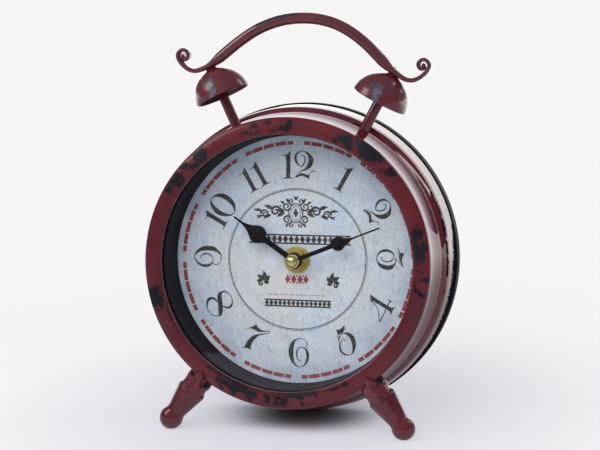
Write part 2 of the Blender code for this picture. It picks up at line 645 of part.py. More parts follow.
def motion_work(case):
    """Minute arbor, minute wheel, hour wheel and setting knob, meshed with each other."""
    cannon_first = math.pi / CANNON_TEETH
    minute_first = mesh_phase(cannon_first, CANNON_TEETH, MINUTE_TEETH, 0.0)
    knob_first = mesh_phase(minute_first, MINUTE_TEETH, CANNON_TEETH, 0.0)
    pinion_first = 0.0
    hour_first = mesh_phase(pinion_first, MINUTE_PINION_TEETH, HOUR_TEETH, math.pi)

    minute_axis = empty("minute_axis", case)
    pinion = prism(gear_outline(CANNON_TEETH, MOTION_MODULE, cannon_first), 35.2, 36.3)
    pipe = turned_solid([(0, 14.6), (1.2, 14.6), (1.2, 18.9), (1.65, 19.0), (1.65, 35.3), (1.2, 35.5),
                         (1.2, 38.0), (0.7, 38.0), (0.7, 36.8), (0, 36.8)], ROD_SIDES)
    wheel("minute_arbor", [pinion, pipe], LOOKS["white"], minute_axis)
    hand("minute_hand", hand_outline(52.5, 27.4, 3.9, 2.4, 0.9, 4.3), MINUTE_HAND_Y, 1.35,
         LOOKS["black"], minute_axis, MINUTE_ANGLE)
    cap = [(0, 14.2), (1.35, 14.2), (1.35, 17.6), (3.6, 17.6), (3.9, 17.0), (3.9, 16.2), (3.3, 14.6),
           (2.0, 13.5), (0, 13.1)]
    piece("cap_nut", turned_solid(cap, SMALL_SIDES), LOOKS["brass"], minute_axis)

    hour_axis = empty("hour_axis", case)
    disc = prism(gear_outline(HOUR_TEETH, HOUR_MODULE, hour_first, pointed=True), 34.3, 34.9)
    hour = wheel("hour_wheel", [disc, arbor(2.5, 20.3, 34.6)], LOOKS["white"], hour_axis)
    bore = rods([((0, 18, 0), (0, 1, 0), 20.0, 1.9)])
    combine(hour, tool("hour_bore", bore, hour_axis), "DIFFERENCE")
    hand("hour_hand", hand_outline(41.8, 25.0, 4.95, 3.1, 1.0, 4.6), HOUR_HAND_Y, 2.7,
         LOOKS["black"], hour_axis, HOUR_ANGLE)

    wheel_axis = empty("minute_wheel_axis", case, (MINUTE_WHEEL_AT[0], 0, MINUTE_WHEEL_AT[1]))
    rim = prism(gear_outline(MINUTE_TEETH, MOTION_MODULE, minute_first, pointed=True), 35.2, 36.1)
    small = prism(gear_outline(MINUTE_PINION_TEETH, HOUR_MODULE, pinion_first), 34.1, 35.4)
    wheel("minute_wheel", [rim, small, arbor(0.5, 33.4, 36.3)], LOOKS["white"], wheel_axis)

    knob_axis = empty("knob_axis", case, (KNOB_AT[0], 0, KNOB_AT[1]))
    gear = prism(gear_outline(CANNON_TEETH, MOTION_MODULE, knob_first), 34.9, 36.4)
    stem = turned_solid([(0, 33.6), (0.9, 33.6), (1.2, 36.2), (1.2, 48.6), (0, 48.6)], ROD_SIDES)
    flutes = []
    for i in range(14):
        for share, radius in ((0.0, KNOB_R), (0.5, KNOB_R), (0.62, KNOB_R - 0.5), (0.88, KNOB_R - 0.5)):
            angle = math.tau * (i + share) / 14
            flutes.append((radius * math.cos(angle), radius * math.sin(angle)))
    wheel("setting_knob", [gear, stem, prism(flutes, 48.4, 51.4)], LOOKS["plastic"], knob_axis)


def going_train(case):
    """Rotor, step wheel, seconds wheel, third wheel and centre wheel, from motor to hands."""
    seconds_first = 0.0
    up = math.pi / 2
    third_way = math.atan2(THIRD_AT[1], THIRD_AT[0])
    step_pinion = mesh_phase(seconds_first, SECONDS_TEETH, PINION_TEETH, up)
    rotor_first = mesh_phase(0.0, STEP_TEETH, PINION_TEETH, up)
    third_first = mesh_phase(0.0, PINION_TEETH, THIRD_TEETH, third_way)
    centre_first = mesh_phase(0.0, PINION_TEETH, CENTRE_TEETH, third_way + math.pi)

    rotor_axis = empty("rotor_axis", case, (ROTOR_AT[0], 0, ROTOR_AT[1]))
    leaves = prism(gear_outline(PINION_TEETH, STEP_MODULE, rotor_first), 40.8, 42.6)
    wheel("rotor", [leaves, arbor(2.6, 42.4, 44.6), arbor(0.4, 40.4, 46.4)], LOOKS["steel"], rotor_axis)

    step_axis = empty("step_axis", case, (STEP_AT[0], 0, STEP_AT[1]))
    rim = prism(gear_outline(STEP_TEETH, STEP_MODULE, 0.0, pointed=True), 40.9, 41.7)
    leaves = prism(gear_outline(PINION_TEETH, SECONDS_MODULE, step_pinion), 39.3, 41.1)
    wheel("step_wheel", [rim, leaves, arbor(0.4, 38.95, 42.5)], LOOKS["white"], step_axis)

    seconds_axis = empty("seconds_axis", case)
    rim = prism(gear_outline(SECONDS_TEETH, SECONDS_MODULE, seconds_first, pointed=True), 39.5, 40.3)
    leaves = prism(gear_outline(PINION_TEETH, THIRD_MODULE, 0.0), 38.1, 39.7)
    wheel("seconds_wheel", [rim, leaves, arbor(0.4, 37.2, 46.4)], LOOKS["white"], seconds_axis)

    third_axis = empty("third_axis", case, (THIRD_AT[0], 0, THIRD_AT[1]))
    rim = prism(gear_outline(THIRD_TEETH, THIRD_MODULE, third_first, pointed=True), 38.2, 38.9)
    leaves = prism(gear_outline(PINION_TEETH, CENTRE_MODULE, 0.0), 36.6, 38.4)
    wheel("third_wheel", [rim, leaves, arbor(0.4, 35.6, 46.4)], LOOKS["white"], third_axis)

    centre_axis = empty("centre_wheel_axis", case)
    rim = prism(gear_outline(CENTRE_TEETH, CENTRE_MODULE, centre_first, pointed=True), 36.8, 37.5)
    made = piece("centre_wheel", rim, LOOKS["white"], centre_axis)
    bore = rods([((0, 35, 0), (0, 1, 0), 4.0, 1.35)])
    combine(made, tool("centre_wheel_bore", bore, centre_axis), "DIFFERENCE")


def make_looks():
    return {
        "red": material("red_paint", RED, 0.32),
        "black": material("black_paint", BLACK, 0.35),
        "brass": material("brass", BRASS, 0.25, metallic=1.0),
        "steel": material("steel", STEEL, 0.3, metallic=1.0),
        "paper": material("dial_paper", PAPER, 0.7),
        "plastic": material("black_plastic", PLASTIC, 0.5),
        "white": material("white_plastic", WHITE_PLASTIC, 0.45),
        "cell": material("battery_jacket", (0.1, 0.1, 0.12), 0.35),
        "copper": material("copper_wire", COPPER, 0.35, metallic=1.0),
        "green": material("circuit_board", GREEN, 0.45),
        "glass": material("clear_glass", (1.0, 1.0, 1.0), 0.02, transmission=1.0),
        "tool": material("cutter", (0.5, 0.5, 0.5), 0.5),
    }


def build():
    tilt = lean()
    low = -BALL_AT * math.cos(math.radians(FOOT_ANGLE))
    height = BALL_R - BALL_FLAT + (FOOT_Y * math.sin(tilt) - low * math.cos(tilt))
    case = empty("case_frame", place=(0, STAND_Y, height))
    case.rotation_euler = (-tilt, 0, 0)
    floor = tool("floor_cut", box((-100, -60, -4), (100, 60, 0)), None)
    bezel(case)
    front_glass(case)
    dial_pan(case)
    dial(case)
    case_body(case)
    rear_cover(case)
    cover_screws(case)
    for label, side in (("left", -1), ("right", 1)):
        foot(f"{label}_foot", side, case, floor)
        foot_screw(f"{label}_foot_screw", side, case)
        post(f"{label}_post", side, case)
        post_nut(f"{label}_post_nut", side, case)
        bell(f"{label}_bell", side, case)
        spacer(f"{label}_spacer", side, case)
        handle_screw(f"{label}_handle_screw", side, case)
    handle(case)
    centre_stack(case)
    movement_shells(case)
    battery(case)
    battery_contacts(case)
    motor(case)
    motion_work(case)
    going_train(case)


clear_scene()
LOOKS = make_looks()
build()
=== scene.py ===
"""Looks of the decorative table clock: worn maroon paint, printed paper dial, brass and black trim.

Lengths are millimetres in the case's own frame: X to the right seen from the front, Y from the bezel's
front edge to the rear along the case's axis, Z up. CASE carries them into the world, in metres.
"""
import json
import math

import bmesh
import bpy
from mathutils import Matrix, Vector

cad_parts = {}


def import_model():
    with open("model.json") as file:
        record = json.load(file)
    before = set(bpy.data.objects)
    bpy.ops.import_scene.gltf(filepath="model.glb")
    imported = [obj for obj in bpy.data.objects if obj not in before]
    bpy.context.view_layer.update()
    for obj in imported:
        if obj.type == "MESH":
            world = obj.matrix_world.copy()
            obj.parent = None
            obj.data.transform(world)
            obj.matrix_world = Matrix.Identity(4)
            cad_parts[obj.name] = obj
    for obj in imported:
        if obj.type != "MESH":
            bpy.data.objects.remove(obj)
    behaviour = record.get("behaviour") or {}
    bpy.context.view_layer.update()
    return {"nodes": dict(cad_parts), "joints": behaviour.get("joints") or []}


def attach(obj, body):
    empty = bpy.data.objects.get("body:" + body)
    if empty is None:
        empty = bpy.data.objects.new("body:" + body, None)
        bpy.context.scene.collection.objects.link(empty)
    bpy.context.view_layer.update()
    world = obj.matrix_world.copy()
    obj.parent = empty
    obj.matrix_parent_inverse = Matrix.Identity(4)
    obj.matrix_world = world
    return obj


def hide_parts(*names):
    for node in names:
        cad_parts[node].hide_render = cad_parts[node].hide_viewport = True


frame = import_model()

MM = 0.001
ARBOR = next(joint for joint in frame["joints"] if joint["name"] == "minute_turn")
LEAN = math.atan2(-ARBOR["axis"][2], ARBOR["axis"][1])
STAND = Matrix.Translation(ARBOR["pos_m"]) @ Matrix.Rotation(-LEAN, 4, "X")
CASE = STAND @ Matrix.Scale(MM, 4)

# Camera of the photograph, in the case's frame
VIEW_TURN = 13.28
VIEW_RISE = 4.31
VIEW_ROLL = 0.52
VIEW_DISTANCE = 1150.0
VIEW_TARGET = (8.1, 0.0, 21.5)
VIEW_FOCUS = 2120.0 / 600.0
SENSOR_WIDTH = 36.0

# Directions
ALONG = (0, 1, 0)
OUTWARDS = (0, 0, 1)
SIDES = (("left", -1), ("right", 1))

# Case
BEZEL_R = 80.0
BEZEL_HOLE_R = 70.5
GLASS_R = 74.0
GLASS_Y = (1.7, 3.7)
PAN_FLOOR_Y = 29.6
PAN_WALL_R = 69.5
DIAL_R = 69.2
DIAL_Y = 28.5
DIAL_REAR = 29.3
CASE_END = 47.3
RIM_R = 87.0
RIM_END = 57.5
COVER_Y = 47.6
COVER_REAR = 48.8
COVER_OPENING = 62.0
COVER_PANEL_R = 86.7
COVER_SCREW_AT = 80.5
COVER_SCREW_ANGLES = (45, 135, 225, 315)

# Feet
FOOT_ANGLE = 36.7
FOOT_Y = 5.0
BALL_AT = 109.8
BALL_R = 6.6
CROWN_AT = 79.0
NOTCH_Y = -7.4
CASTING_GRAIN = 0.00022

# Posts, bells and handle
POST_ANGLE = 26.3
TOP_SKEW = 1.2
PLANE_Y = 25.0
POST_R = 3.0
BELL_RIM_AT = 100.0
BELL_R = 16.0
BELL_WALL = 1.0
TUBE_R = 3.2
STRIP_HALF_THICK = 1.6
STRIP_HALF_WIDTH = 4.6
STRIP_MIDDLE = BELL_RIM_AT + BELL_R + 2.55

# Hands
MINUTE_ANGLE = 68.0
HOUR_ANGLE = 304.5
MINUTE_HAND_Y = 18.0
HOUR_HAND_Y = 20.0
HAND_THICK = 0.7

# Dial print
PRINT_CENTRE = (0.33, -0.34)
NUMERAL_HEIGHT = 15.5
NUMERAL_AT = 52.3
TRACK_R = 65.45
TRACK_WIDTH = 2.1
INK_LIFT = 0.04
INK_STEP = 0.004
INK_LEVELS = 7
INK_FOOT = 0.01

# Colours of the paints, the paper and the floor
RED_DEEP = (0.078, 0.0095, 0.0145, 1)
RED_LIVE = (0.112, 0.012, 0.0175, 1)
RED_DUSTY = (0.125, 0.024, 0.034, 1)
RED_DARK = (0.045, 0.009, 0.012, 1)
# Near-black undercoat; in the feet's notches it stands as painted shade.
UNDER_BLACK_AND_SHADE = (0.006, 0.007, 0.010, 1)
UNDER_BLUE = (0.013, 0.016, 0.022, 1)
# Paler blue-grey in the bells' worn patches: a painted highlight on their glossy undercoat.
UNDER_GREY_HIGHLIGHT = (0.085, 0.10, 0.13, 1)
PAPER_BLUE = (0.57, 0.66, 0.77, 1)
PAPER_PALE = (0.66, 0.73, 0.80, 1)
PAPER_BEIGE = (0.66, 0.67, 0.65, 1)
PAPER_RIM = (0.43, 0.53, 0.65, 1)
PAPER_GREY = (0.30, 0.32, 0.34, 1)
FLOOR_COLOUR = (0.82, 0.82, 0.84, 1)
# Near the clock the floor is painted bluer as painted shade and dark at the rear rim's foot as a painted
# contact shadow; its glow there is bluer too, as painted shade.
FLOOR_SHADE_BLUE = (0.84, 0.84, 0.93, 1)
FLOOR_CONTACT_SHADOW = (0.25, 0.24, 0.24, 1)
FLOOR_GLOW_SHADE_BLUE = (0.94, 0.94, 1.0, 1)

# Floor: distances in metres from the rear rim's foot, then levels. The first span holds a painted contact
# shadow, and the first level is the floor's glow near the clock, dimmed as painted shade.
FLOOR_CONTACT_SHADOW_REACH = (0.008, 0.034)
FLOOR_PLAIN_AT = 0.2
FLOOR_NEAR = (0.026, 0.062)
FLOOR_FAR = (0.09, 0.38)
FLOOR_SHADE_GLOW_LEVEL = 0.76
FLOOR_GLOSS = 2.0

# Room: levels of the plain light and of what the gloss mirrors
AMBIENT_FRONT = 0.75
AMBIENT_REAR = 0.65
ROOM_FRONT = 0.07
ROOM_TOP = 0.22
ROOM_REAR = 2.2
ROOM_BEHIND = (0.77, 0.95)
BACKDROP = 0.915
ROOM_TINT = (0.93, 0.94, 1.0, 1)
GLOSS_TINT = (0.88, 0.78, 1.0, 1)
PLAIN = (1.0, 1.0, 1.0, 1)

# Paint and paper: noise scales and limits, and heights in metres
CHIP_GRAIN = 900.0
CHIP_SWING = 1.5
CHIP_EDGE = (0.50, 0.54)
CHIP_RIM = (0.36, 0.52)
CHIP_DEPTH = 0.00008
FLECK_GRAIN = 720.0
FLECK_LIMIT = 0.86
GRAIN_DEPTH = 0.00005
MOULD_DEPTH = 0.00004
COAT_NOISE = {"Tone": (35.0, 3.0, 0.55), "Mottle": (900.0, 4.0, 0.65), "Peel": (600.0, 2.0, 0.5)}
PAPER_STAINED = (0.066, 0.035)
PAPER_DARKENED = (0.055, 0.069)

# Worn spots of the bezel: angle, level, half angle, half height. The level is the radius on the face and
# runs on over the outer wall above 80 and down the inner wall below 70.5.
BEZEL_SPOTS = [
    (0.3, 73.5, 1.6, 1.8), (1.3, 76, 1.7, 2.2), (1.8, 77.5, 1, 1), (358.5, 73.5, 2, 1),
    (356, 72.8, 1.5, 0.4), (359.6, 74, 1, 1.4), (358.6, 74.4, 1, 1.2), (358.3, 73.2, 1.2, 0.9),
    (26, 76.2, 3.4, 2.6), (24, 75.3, 2.4, 2), (28, 74.5, 2, 2.8), (22, 73, 1.2, 1.2),
    (29.3, 73.5, 0.8, 2), (34, 78.5, 4.5, 3.2), (38, 79, 4.5, 2.8), (36, 75.5, 3.6, 3),
    (35, 73.3, 1.3, 1.2), (37.5, 73.5, 1.3, 1.4), (41.5, 78.3, 2, 2.2), (39.5, 76.5, 2, 2.2),
    (36, 81.5, 7, 1.6), (49.5, 77.8, 1.5, 1.4), (47.7, 78, 1, 1.2), (48.2, 76, 1.4, 1.2),
    (47, 74.6, 1.6, 0.5), (45.3, 74, 0.8, 0.5), (76, 76, 2, 2), (75.5, 74, 1.8, 2), (79, 73.5, 4, 1.8),
    (82, 76.5, 2.5, 2.4), (81.5, 78, 1.3, 0.8), (85, 75.5, 2.5, 2), (83, 73.5, 4.5, 1.9),
    (87.3, 73.3, 1.5, 1.3), (91, 73.2, 0.5, 1.2), (91.5, 75.2, 0.4, 1.4), (92.3, 76.4, 0.8, 0.35),
    (94.6, 78.5, 1.1, 1.8), (94.7, 76.5, 0.8, 1.6), (93.9, 79, 0.6, 1), (100.9, 76.8, 0.8, 1.3),
    (100.3, 75.6, 0.9, 1), (99.6, 74, 0.9, 1.2), (98, 72.9, 1.8, 0.6), (95.5, 72.5, 1.5, 0.4),
    (101.3, 77.6, 0.6, 0.5), (152, 72.8, 1.6, 1.3), (156.5, 72.9, 1.8, 0.9), (159, 72.4, 1.5, 0.5),
    (154.5, 73.1, 0.8, 0.3), (165.6, 73.5, 0.6, 1.4), (167.5, 72.3, 2.5, 0.8), (172.5, 73.2, 1.5, 1.6),
    (172.3, 75.5, 0.6, 1.5), (172, 77.5, 0.8, 1.3), (176, 72.7, 2.5, 0.9), (179, 74, 1.6, 1.8),
    (179.6, 77, 0.7, 1.8), (169.5, 78.4, 0.4, 0.6), (180.5, 76, 0.8, 1.2), (182, 77, 2, 0.6),
    (183.3, 76.5, 1, 1), (180.3, 74.3, 1.2, 1.2), (182.5, 73.8, 2, 1.2), (186.8, 74.7, 1, 2.6),
    (188, 73.5, 0.8, 1), (194.3, 76.5, 1.1, 2.3), (194.8, 74.2, 3, 2.4), (199, 73.6, 4, 1.8),
    (203, 74.5, 3.5, 2), (207.5, 73.9, 3.2, 1.9), (201.7, 77.5, 1, 2), (206.8, 77.8, 0.6, 1.3),
    (207.6, 76.6, 1.2, 0.6), (210, 74.4, 0.9, 1.9), (193, 73.8, 1.2, 1.8), (216.3, 72.2, 1.5, 0.8),
    (174, 71, 9, 0.9), (204, 71.2, 13, 0.9), (247, 80.5, 2.8, 1.2), (248.9, 77, 0.5, 1.2),
    (249, 74, 1.2, 1.2), (254, 77, 3.6, 4.2), (256.5, 76, 2.8, 4), (252.5, 78, 2, 2.5),
    (257.5, 74.5, 1.8, 2.5), (253, 74, 2.5, 2), (251, 73.9, 1.5, 1.5), (245, 71.7, 5, 0.5),
    (251, 81.5, 6, 1.6), (300.5, 77.3, 1.5, 1.6), (303.5, 77.2, 3, 1.8), (307.5, 77.2, 1.9, 1.9),
    (306, 75.3, 3, 1.2), (305, 73.3, 1, 1.8), (308.4, 75, 0.9, 2), (306.8, 72.7, 1.9, 0.9),
    (300.8, 76.3, 1.4, 2.2), (304, 81.3, 7, 1.2), (312.3, 77.4, 2, 1.2), (313.3, 76.5, 1.2, 1.3),
    (310.8, 78.2, 0.9, 0.6), (315.5, 73.5, 1.6, 1.6), (317, 72.7, 2, 0.9), (314.6, 75.2, 0.7, 1.2),
    (318.5, 76, 1.1, 3), (320.5, 76.6, 2.8, 2.2), (321.5, 74.2, 2.2, 2.4), (319, 73.4, 1.8, 1.6),
    (322.8, 76.5, 1, 2.2), (342.5, 74.3, 1.4, 0.6), (343.6, 75.2, 0.5, 1.2), (341, 74.6, 0.7, 0.4),
    (344.8, 72.9, 0.6, 1.2), (347.4, 72.7, 0.9, 1), (346.8, 77, 1.1, 1.8), (347.2, 75.8, 0.8, 0.8),
    (345.4, 77.3, 0.8, 0.5), (352, 77.8, 1.8, 1), (352.7, 76.8, 0.9, 0.8), (354.2, 72.6, 0.9, 0.9),
    (351, 81.5, 5, 1.2), (288, 77, 0.3, 0.6)]


# Node tools

def plug(tree, made, sockets):
    """Sets a node's inputs, by name or number, to values or to the outputs that feed them."""
    for socket, value in sockets.items():
        if isinstance(value, bpy.types.NodeSocket):
            tree.links.new(value, made.inputs[socket])
        else:
            made.inputs[socket].default_value = value


def node(tree, kind, sockets=None, **settings):
    made = tree.nodes.new(kind)
    for key, value in settings.items():
        setattr(made, key, value)
    plug(tree, made, sockets or {})
    return made


def mixed(tree, share, first, second):
    """Colour between two colours."""
    made = node(tree, "ShaderNodeMix", {0: share, 6: first, 7: second}, data_type="RGBA")
    return made.outputs[2]


def between(tree, share, first, second):
    """Value between two values."""
    return node(tree, "ShaderNodeMix", {0: share, 2: first, 3: second}).outputs[0]


def eased(tree, value, low, high, bottom=0.0, top=1.0):
    """Smooth step of a value between two limits."""
    made = node(tree, "ShaderNodeMapRange", {
        "Value": value, "From Min": low, "From Max": high, "To Min": bottom, "To Max": top},
        interpolation_type="SMOOTHSTEP")
    return made.outputs["Result"]


def sums(tree, operation, first, second, third=0.0):
    return node(tree, "ShaderNodeMath", {0: first, 1: second, 2: third}, operation=operation).outputs[0]


def noise(tree, place, scale, detail, roughness=0.5, distortion=0.0):
    made = node(tree, "ShaderNodeTexNoise", {
        "Vector": place, "Scale": scale, "Detail": detail, "Roughness": roughness,
        "Distortion": distortion})
    return made.outputs["Fac"]


def measured_from(tree, place, centre):
    """Place measured from a centre, and its distance from there."""
    around = node(tree, "ShaderNodeMapping", {"Vector": place, "Location": centre},
                  vector_type="TEXTURE").outputs[0]
    return around, node(tree, "ShaderNodeVectorMath", {0: around}, operation="LENGTH").outputs["Value"]


def ray_kinds(tree):
    """Masks of the rays that come from the camera, and of those that were mirrored or bent."""
    rays = node(tree, "ShaderNodeLightPath").outputs
    return rays["Is Camera Ray"], sums(tree, "MAXIMUM", rays["Is Glossy Ray"], rays["Is Transmission Ray"])


def group(name, inputs, outputs):
    """Empty node group with named sockets; gives the tree, its inputs' outputs and its output node."""
    tree = bpy.data.node_groups.new(name, "ShaderNodeTree")
    for label, kind in inputs:
        tree.interface.new_socket(label, in_out="INPUT", socket_type=kind)
    for label, kind in outputs:
        tree.interface.new_socket(label, in_out="OUTPUT", socket_type=kind)
    return tree, node(tree, "NodeGroupInput").outputs, node(tree, "NodeGroupOutput")


def placed(tree, group_tree, sockets):
    """Outputs of a group put into a material."""
    return node(tree, "ShaderNodeGroup", sockets, node_tree=group_tree).outputs


def new_look(name):
    """Material with one Principled shader; gives it, its tree, its shader and the object's coordinates."""
    made = bpy.data.materials.new(name)
    made.use_nodes = True
    tree = made.node_tree
    place = node(tree, "ShaderNodeTexCoord").outputs["Object"]
    return made, tree, tree.nodes["Principled BSDF"], place


def bumped(tree, shader, height, strength, distance):
    bump = node(tree, "ShaderNodeBump", {"Height": height, "Strength": strength, "Distance": distance})
    plug(tree, shader, {"Normal": bump.outputs["Normal"]})


def show_mix(tree, share, first, second):
    """Makes the surface a blend of two shader nodes."""
    mix = node(tree, "ShaderNodeMixShader", {0: share, 1: first.outputs[0], 2: second.outputs[0]})
    plug(tree, tree.nodes["Material Output"], {"Surface": mix.outputs[0]})


# Shared effects

def make_chipping():
    """Ragged paint chips with islands left in them, only where the wear attribute says, and flecks; in the
    feet's notches the same mask lays near-black painted shade.
    """
    tree, start, end = group("paint_chips_and_shade", [
        ("Place", "NodeSocketVector"), ("Wear and shade", "NodeSocketFloat"), ("Flecks", "NodeSocketFloat")],
        [("Chipped and shaded", "NodeSocketFloat"), ("Rim", "NodeSocketFloat")])
    ragged = noise(tree, start["Place"], CHIP_GRAIN, 5.0, 0.58, 0.8)
    swing = sums(tree, "MULTIPLY", sums(tree, "SUBTRACT", ragged, 0.5), CHIP_SWING)
    reach = sums(tree, "MINIMUM", sums(tree, "MULTIPLY", start["Wear and shade"], 4.0), 1.0)
    level = sums(tree, "MULTIPLY_ADD", swing, reach, start["Wear and shade"])
    chips = eased(tree, level, *CHIP_EDGE)
    small = noise(tree, start["Place"], FLECK_GRAIN, 2.0, 0.6)
    limit = sums(tree, "SUBTRACT", FLECK_LIMIT, sums(tree, "MULTIPLY", start["Flecks"], 0.13))
    flecks = eased(tree, sums(tree, "SUBTRACT", small, limit), 0.0, 0.02)
    plug(tree, end, {"Chipped and shaded": sums(tree, "MAXIMUM", chips, flecks),
                     "Rim": sums(tree, "SUBTRACT", eased(tree, level, *CHIP_RIM), chips)})
    return tree


def make_coat():
    """Fine life of a sprayed coat: broad tone, small mottling and an orange-peel height."""
    tree, start, end = group("coat", [("Place", "NodeSocketVector")],
                             [(label, "NodeSocketFloat") for label in COAT_NOISE])
    for label, pattern in COAT_NOISE.items():
        plug(tree, end, {label: noise(tree, start["Place"], *pattern)})
    return tree


def make_aged_paper():
    """Colour of the dial's paper: pale blue, warmer stains, darker towards the rim, fine fibres."""
    tree, start, end = group("aged_paper", [("Place", "NodeSocketVector")],
                             [("Colour", "NodeSocketColor"), ("Fibre", "NodeSocketFloat")])
    centred, out = measured_from(tree, start["Place"], CASE @ Vector((0, DIAL_Y, 0)))
    stretched = node(tree, "ShaderNodeMapping", {"Vector": centred, "Scale": (1.0, 1.0, 0.35)})
    clouds = noise(tree, centred, 60.0, 6.0, 0.66, 0.5)
    streaks = noise(tree, stretched.outputs[0], 420.0, 5.0, 0.78)
    grains = noise(tree, centred, 1300.0, 4.0, 0.75)
    blotches = noise(tree, centred, 24.0, 4.0, 0.55, 0.4)
    warm = sums(tree, "MULTIPLY", eased(tree, blotches, 0.42, 0.62, 0.0, 0.85),
                eased(tree, out, *PAPER_STAINED))
    rim = sums(tree, "MULTIPLY", eased(tree, out, *PAPER_DARKENED, 0.0, 0.8),
               eased(tree, clouds, 0.62, 0.4))
    colour = PAPER_BLUE
    for share, tone in ((eased(tree, clouds, 0.36, 0.62), PAPER_PALE),
                        (warm, PAPER_BEIGE), (rim, PAPER_RIM),
                        (eased(tree, streaks, 0.5, 0.7, 0.0, 0.45), PAPER_GREY),
                        (eased(tree, grains, 0.5, 0.64, 0.0, 0.55), PAPER_GREY)):
        colour = mixed(tree, share, colour, tone)
    plug(tree, end, {"Colour": colour, "Fibre": grains})
    return tree


# Finishes

def paled(colour, times):
    return tuple(min(channel * times, 1.0) for channel in colour[:3]) + (1.0,)


def red_paint(name, flecks, gloss, coat, coat_rough, peel, shine=0.25, under=(UNDER_BLACK_AND_SHADE, UNDER_BLUE),
              worn_coat=0.0):
    """Glossy maroon over an undercoat of two tones that shows where it is worn through; in the feet's
    notches the same mask lays near-black painted shade.
    """
    made, tree, shader, place = new_look(name)
    wear = node(tree, "ShaderNodeAttribute", attribute_name="wear").outputs["Fac"]
    chips = placed(tree, CHIPS_AND_SHADE, {"Place": place, "Wear and shade": wear, "Flecks": flecks})
    coating = placed(tree, COAT, {"Place": place})
    toned = mixed(tree, eased(tree, coating["Tone"], 0.35, 0.68), RED_DEEP, RED_LIVE)
    mottled = mixed(tree, eased(tree, coating["Mottle"], 0.5, 0.75, 0.0, 0.4), toned, RED_DUSTY)
    rimmed = mixed(tree, sums(tree, "MULTIPLY", chips["Rim"], 0.6), mottled, RED_DARK)
    undercoat = mixed(tree, eased(tree, coating["Tone"], 0.4, 0.65), *under)
    rough = eased(tree, coating["Mottle"], 0.3, 0.8, gloss - 0.04, gloss + 0.08)
    plug(tree, shader, {
        "Base Color": mixed(tree, chips["Chipped and shaded"], rimmed, undercoat),
        "Roughness": sums(tree, "MULTIPLY_ADD", chips["Chipped and shaded"], 0.2, rough),
        "Specular IOR Level": shine, "Coat Roughness": coat_rough,
        "Coat Weight": eased(tree, chips["Chipped and shaded"], 0.0, 1.0, coat, worn_coat)})
    height = sums(tree, "SUBTRACT", sums(tree, "MULTIPLY", coating["Peel"], 0.2), chips["Chipped and shaded"])
    bumped(tree, shader, height, peel, CHIP_DEPTH)
    return made


def black_paint(name, gloss, colour, shine):
    made, tree, shader, place = new_look(name)
    coat = placed(tree, COAT, {"Place": place})
    dusty = eased(tree, coat["Mottle"], 0.6, 0.85, 0.0, 0.25)
    plug(tree, shader, {
        "Base Color": mixed(tree, dusty, colour, paled(colour, 2.2)),
        "Roughness": eased(tree, coat["Tone"], 0.3, 0.7, gloss - 0.04, gloss + 0.06),
        "Specular IOR Level": shine})
    bumped(tree, shader, coat["Peel"], 0.25, GRAIN_DEPTH)
    return made


def metal(name, colour, rough, tarnish, metallic=1.0):
    """Turned or plated metal with faint tarnish and fine handling marks."""
    made, tree, shader, place = new_look(name)
    cloud = noise(tree, place, 120.0, 4.0, 0.6)
    marks = noise(tree, place, 1600.0, 3.0, 0.7)
    plug(tree, shader, {
        "Base Color": mixed(tree, eased(tree, cloud, 0.45, 0.75, 0.0, 0.6), colour, tarnish),
        "Roughness": eased(tree, marks, 0.3, 0.8, rough * 0.7, rough * 1.5), "Metallic": metallic})
    bumped(tree, shader, marks, 0.08, GRAIN_DEPTH)
    return made


def moulded(name, colour, rough=0.45, paler=1.35):
    """Moulded plastic or rubber with a fine spark-eroded grain."""
    made, tree, shader, place = new_look(name)
    grain = noise(tree, place, 2600.0, 2.0, 0.6)
    cloud = noise(tree, place, 90.0, 3.0, 0.5)
    plug(tree, shader, {
        "Base Color": mixed(tree, eased(tree, cloud, 0.4, 0.7), colour, paled(colour, paler)),
        "Roughness": eased(tree, grain, 0.3, 0.7, rough * 0.9, rough * 1.15)})
    bumped(tree, shader, grain, 0.12, MOULD_DEPTH)
    return made


def dial_paper():
    made, tree, shader, place = new_look("dial_paper")
    paper = placed(tree, AGED_PAPER, {"Place": place})
    plug(tree, shader, {"Base Color": paper["Colour"], "Roughness": 0.75, "Specular IOR Level": 0.3})
    bumped(tree, shader, paper["Fibre"], 0.15, GRAIN_DEPTH)
    return made


def printed_ink(name, dark, light, worn):
    """Ink on the dial's paper, rubbed thin in grains so that the paper shows through."""
    made, tree, shader, place = new_look(name)
    paper = placed(tree, AGED_PAPER, {"Place": place})
    grains = noise(tree, place, 1500.0, 3.0, 0.7)
    cloud = noise(tree, place, 120.0, 3.0, 0.6)
    ink = mixed(tree, eased(tree, grains, 0.4, 0.62), dark, light)
    thin = sums(tree, "MULTIPLY", eased(tree, grains, 0.5, 0.68, 0.0, worn),
                eased(tree, cloud, 0.35, 0.7, 0.35, 1.0))
    plug(tree, shader, {"Base Color": mixed(tree, thin, ink, paper["Colour"]), "Roughness": 0.65})
    return made


def clear_glass():
    """Pane that lets light and shadow rays straight through, so the dial behind it is lit."""
    made, tree, shader, place = new_look("clear_glass")
    tint = mixed(tree, noise(tree, place, 8.0, 2.0), (0.985, 0.995, 0.99, 1), PLAIN)
    plug(tree, shader, {"Base Color": tint, "Transmission Weight": 1.0, "Roughness": 0.0, "IOR": 1.45})
    rays = node(tree, "ShaderNodeLightPath").outputs
    passing = sums(tree, "MAXIMUM", rays["Is Shadow Ray"], rays["Is Diffuse Ray"])
    show_mix(tree, passing, shader, node(tree, "ShaderNodeBsdfTransparent"))
    return made


# Shape tools

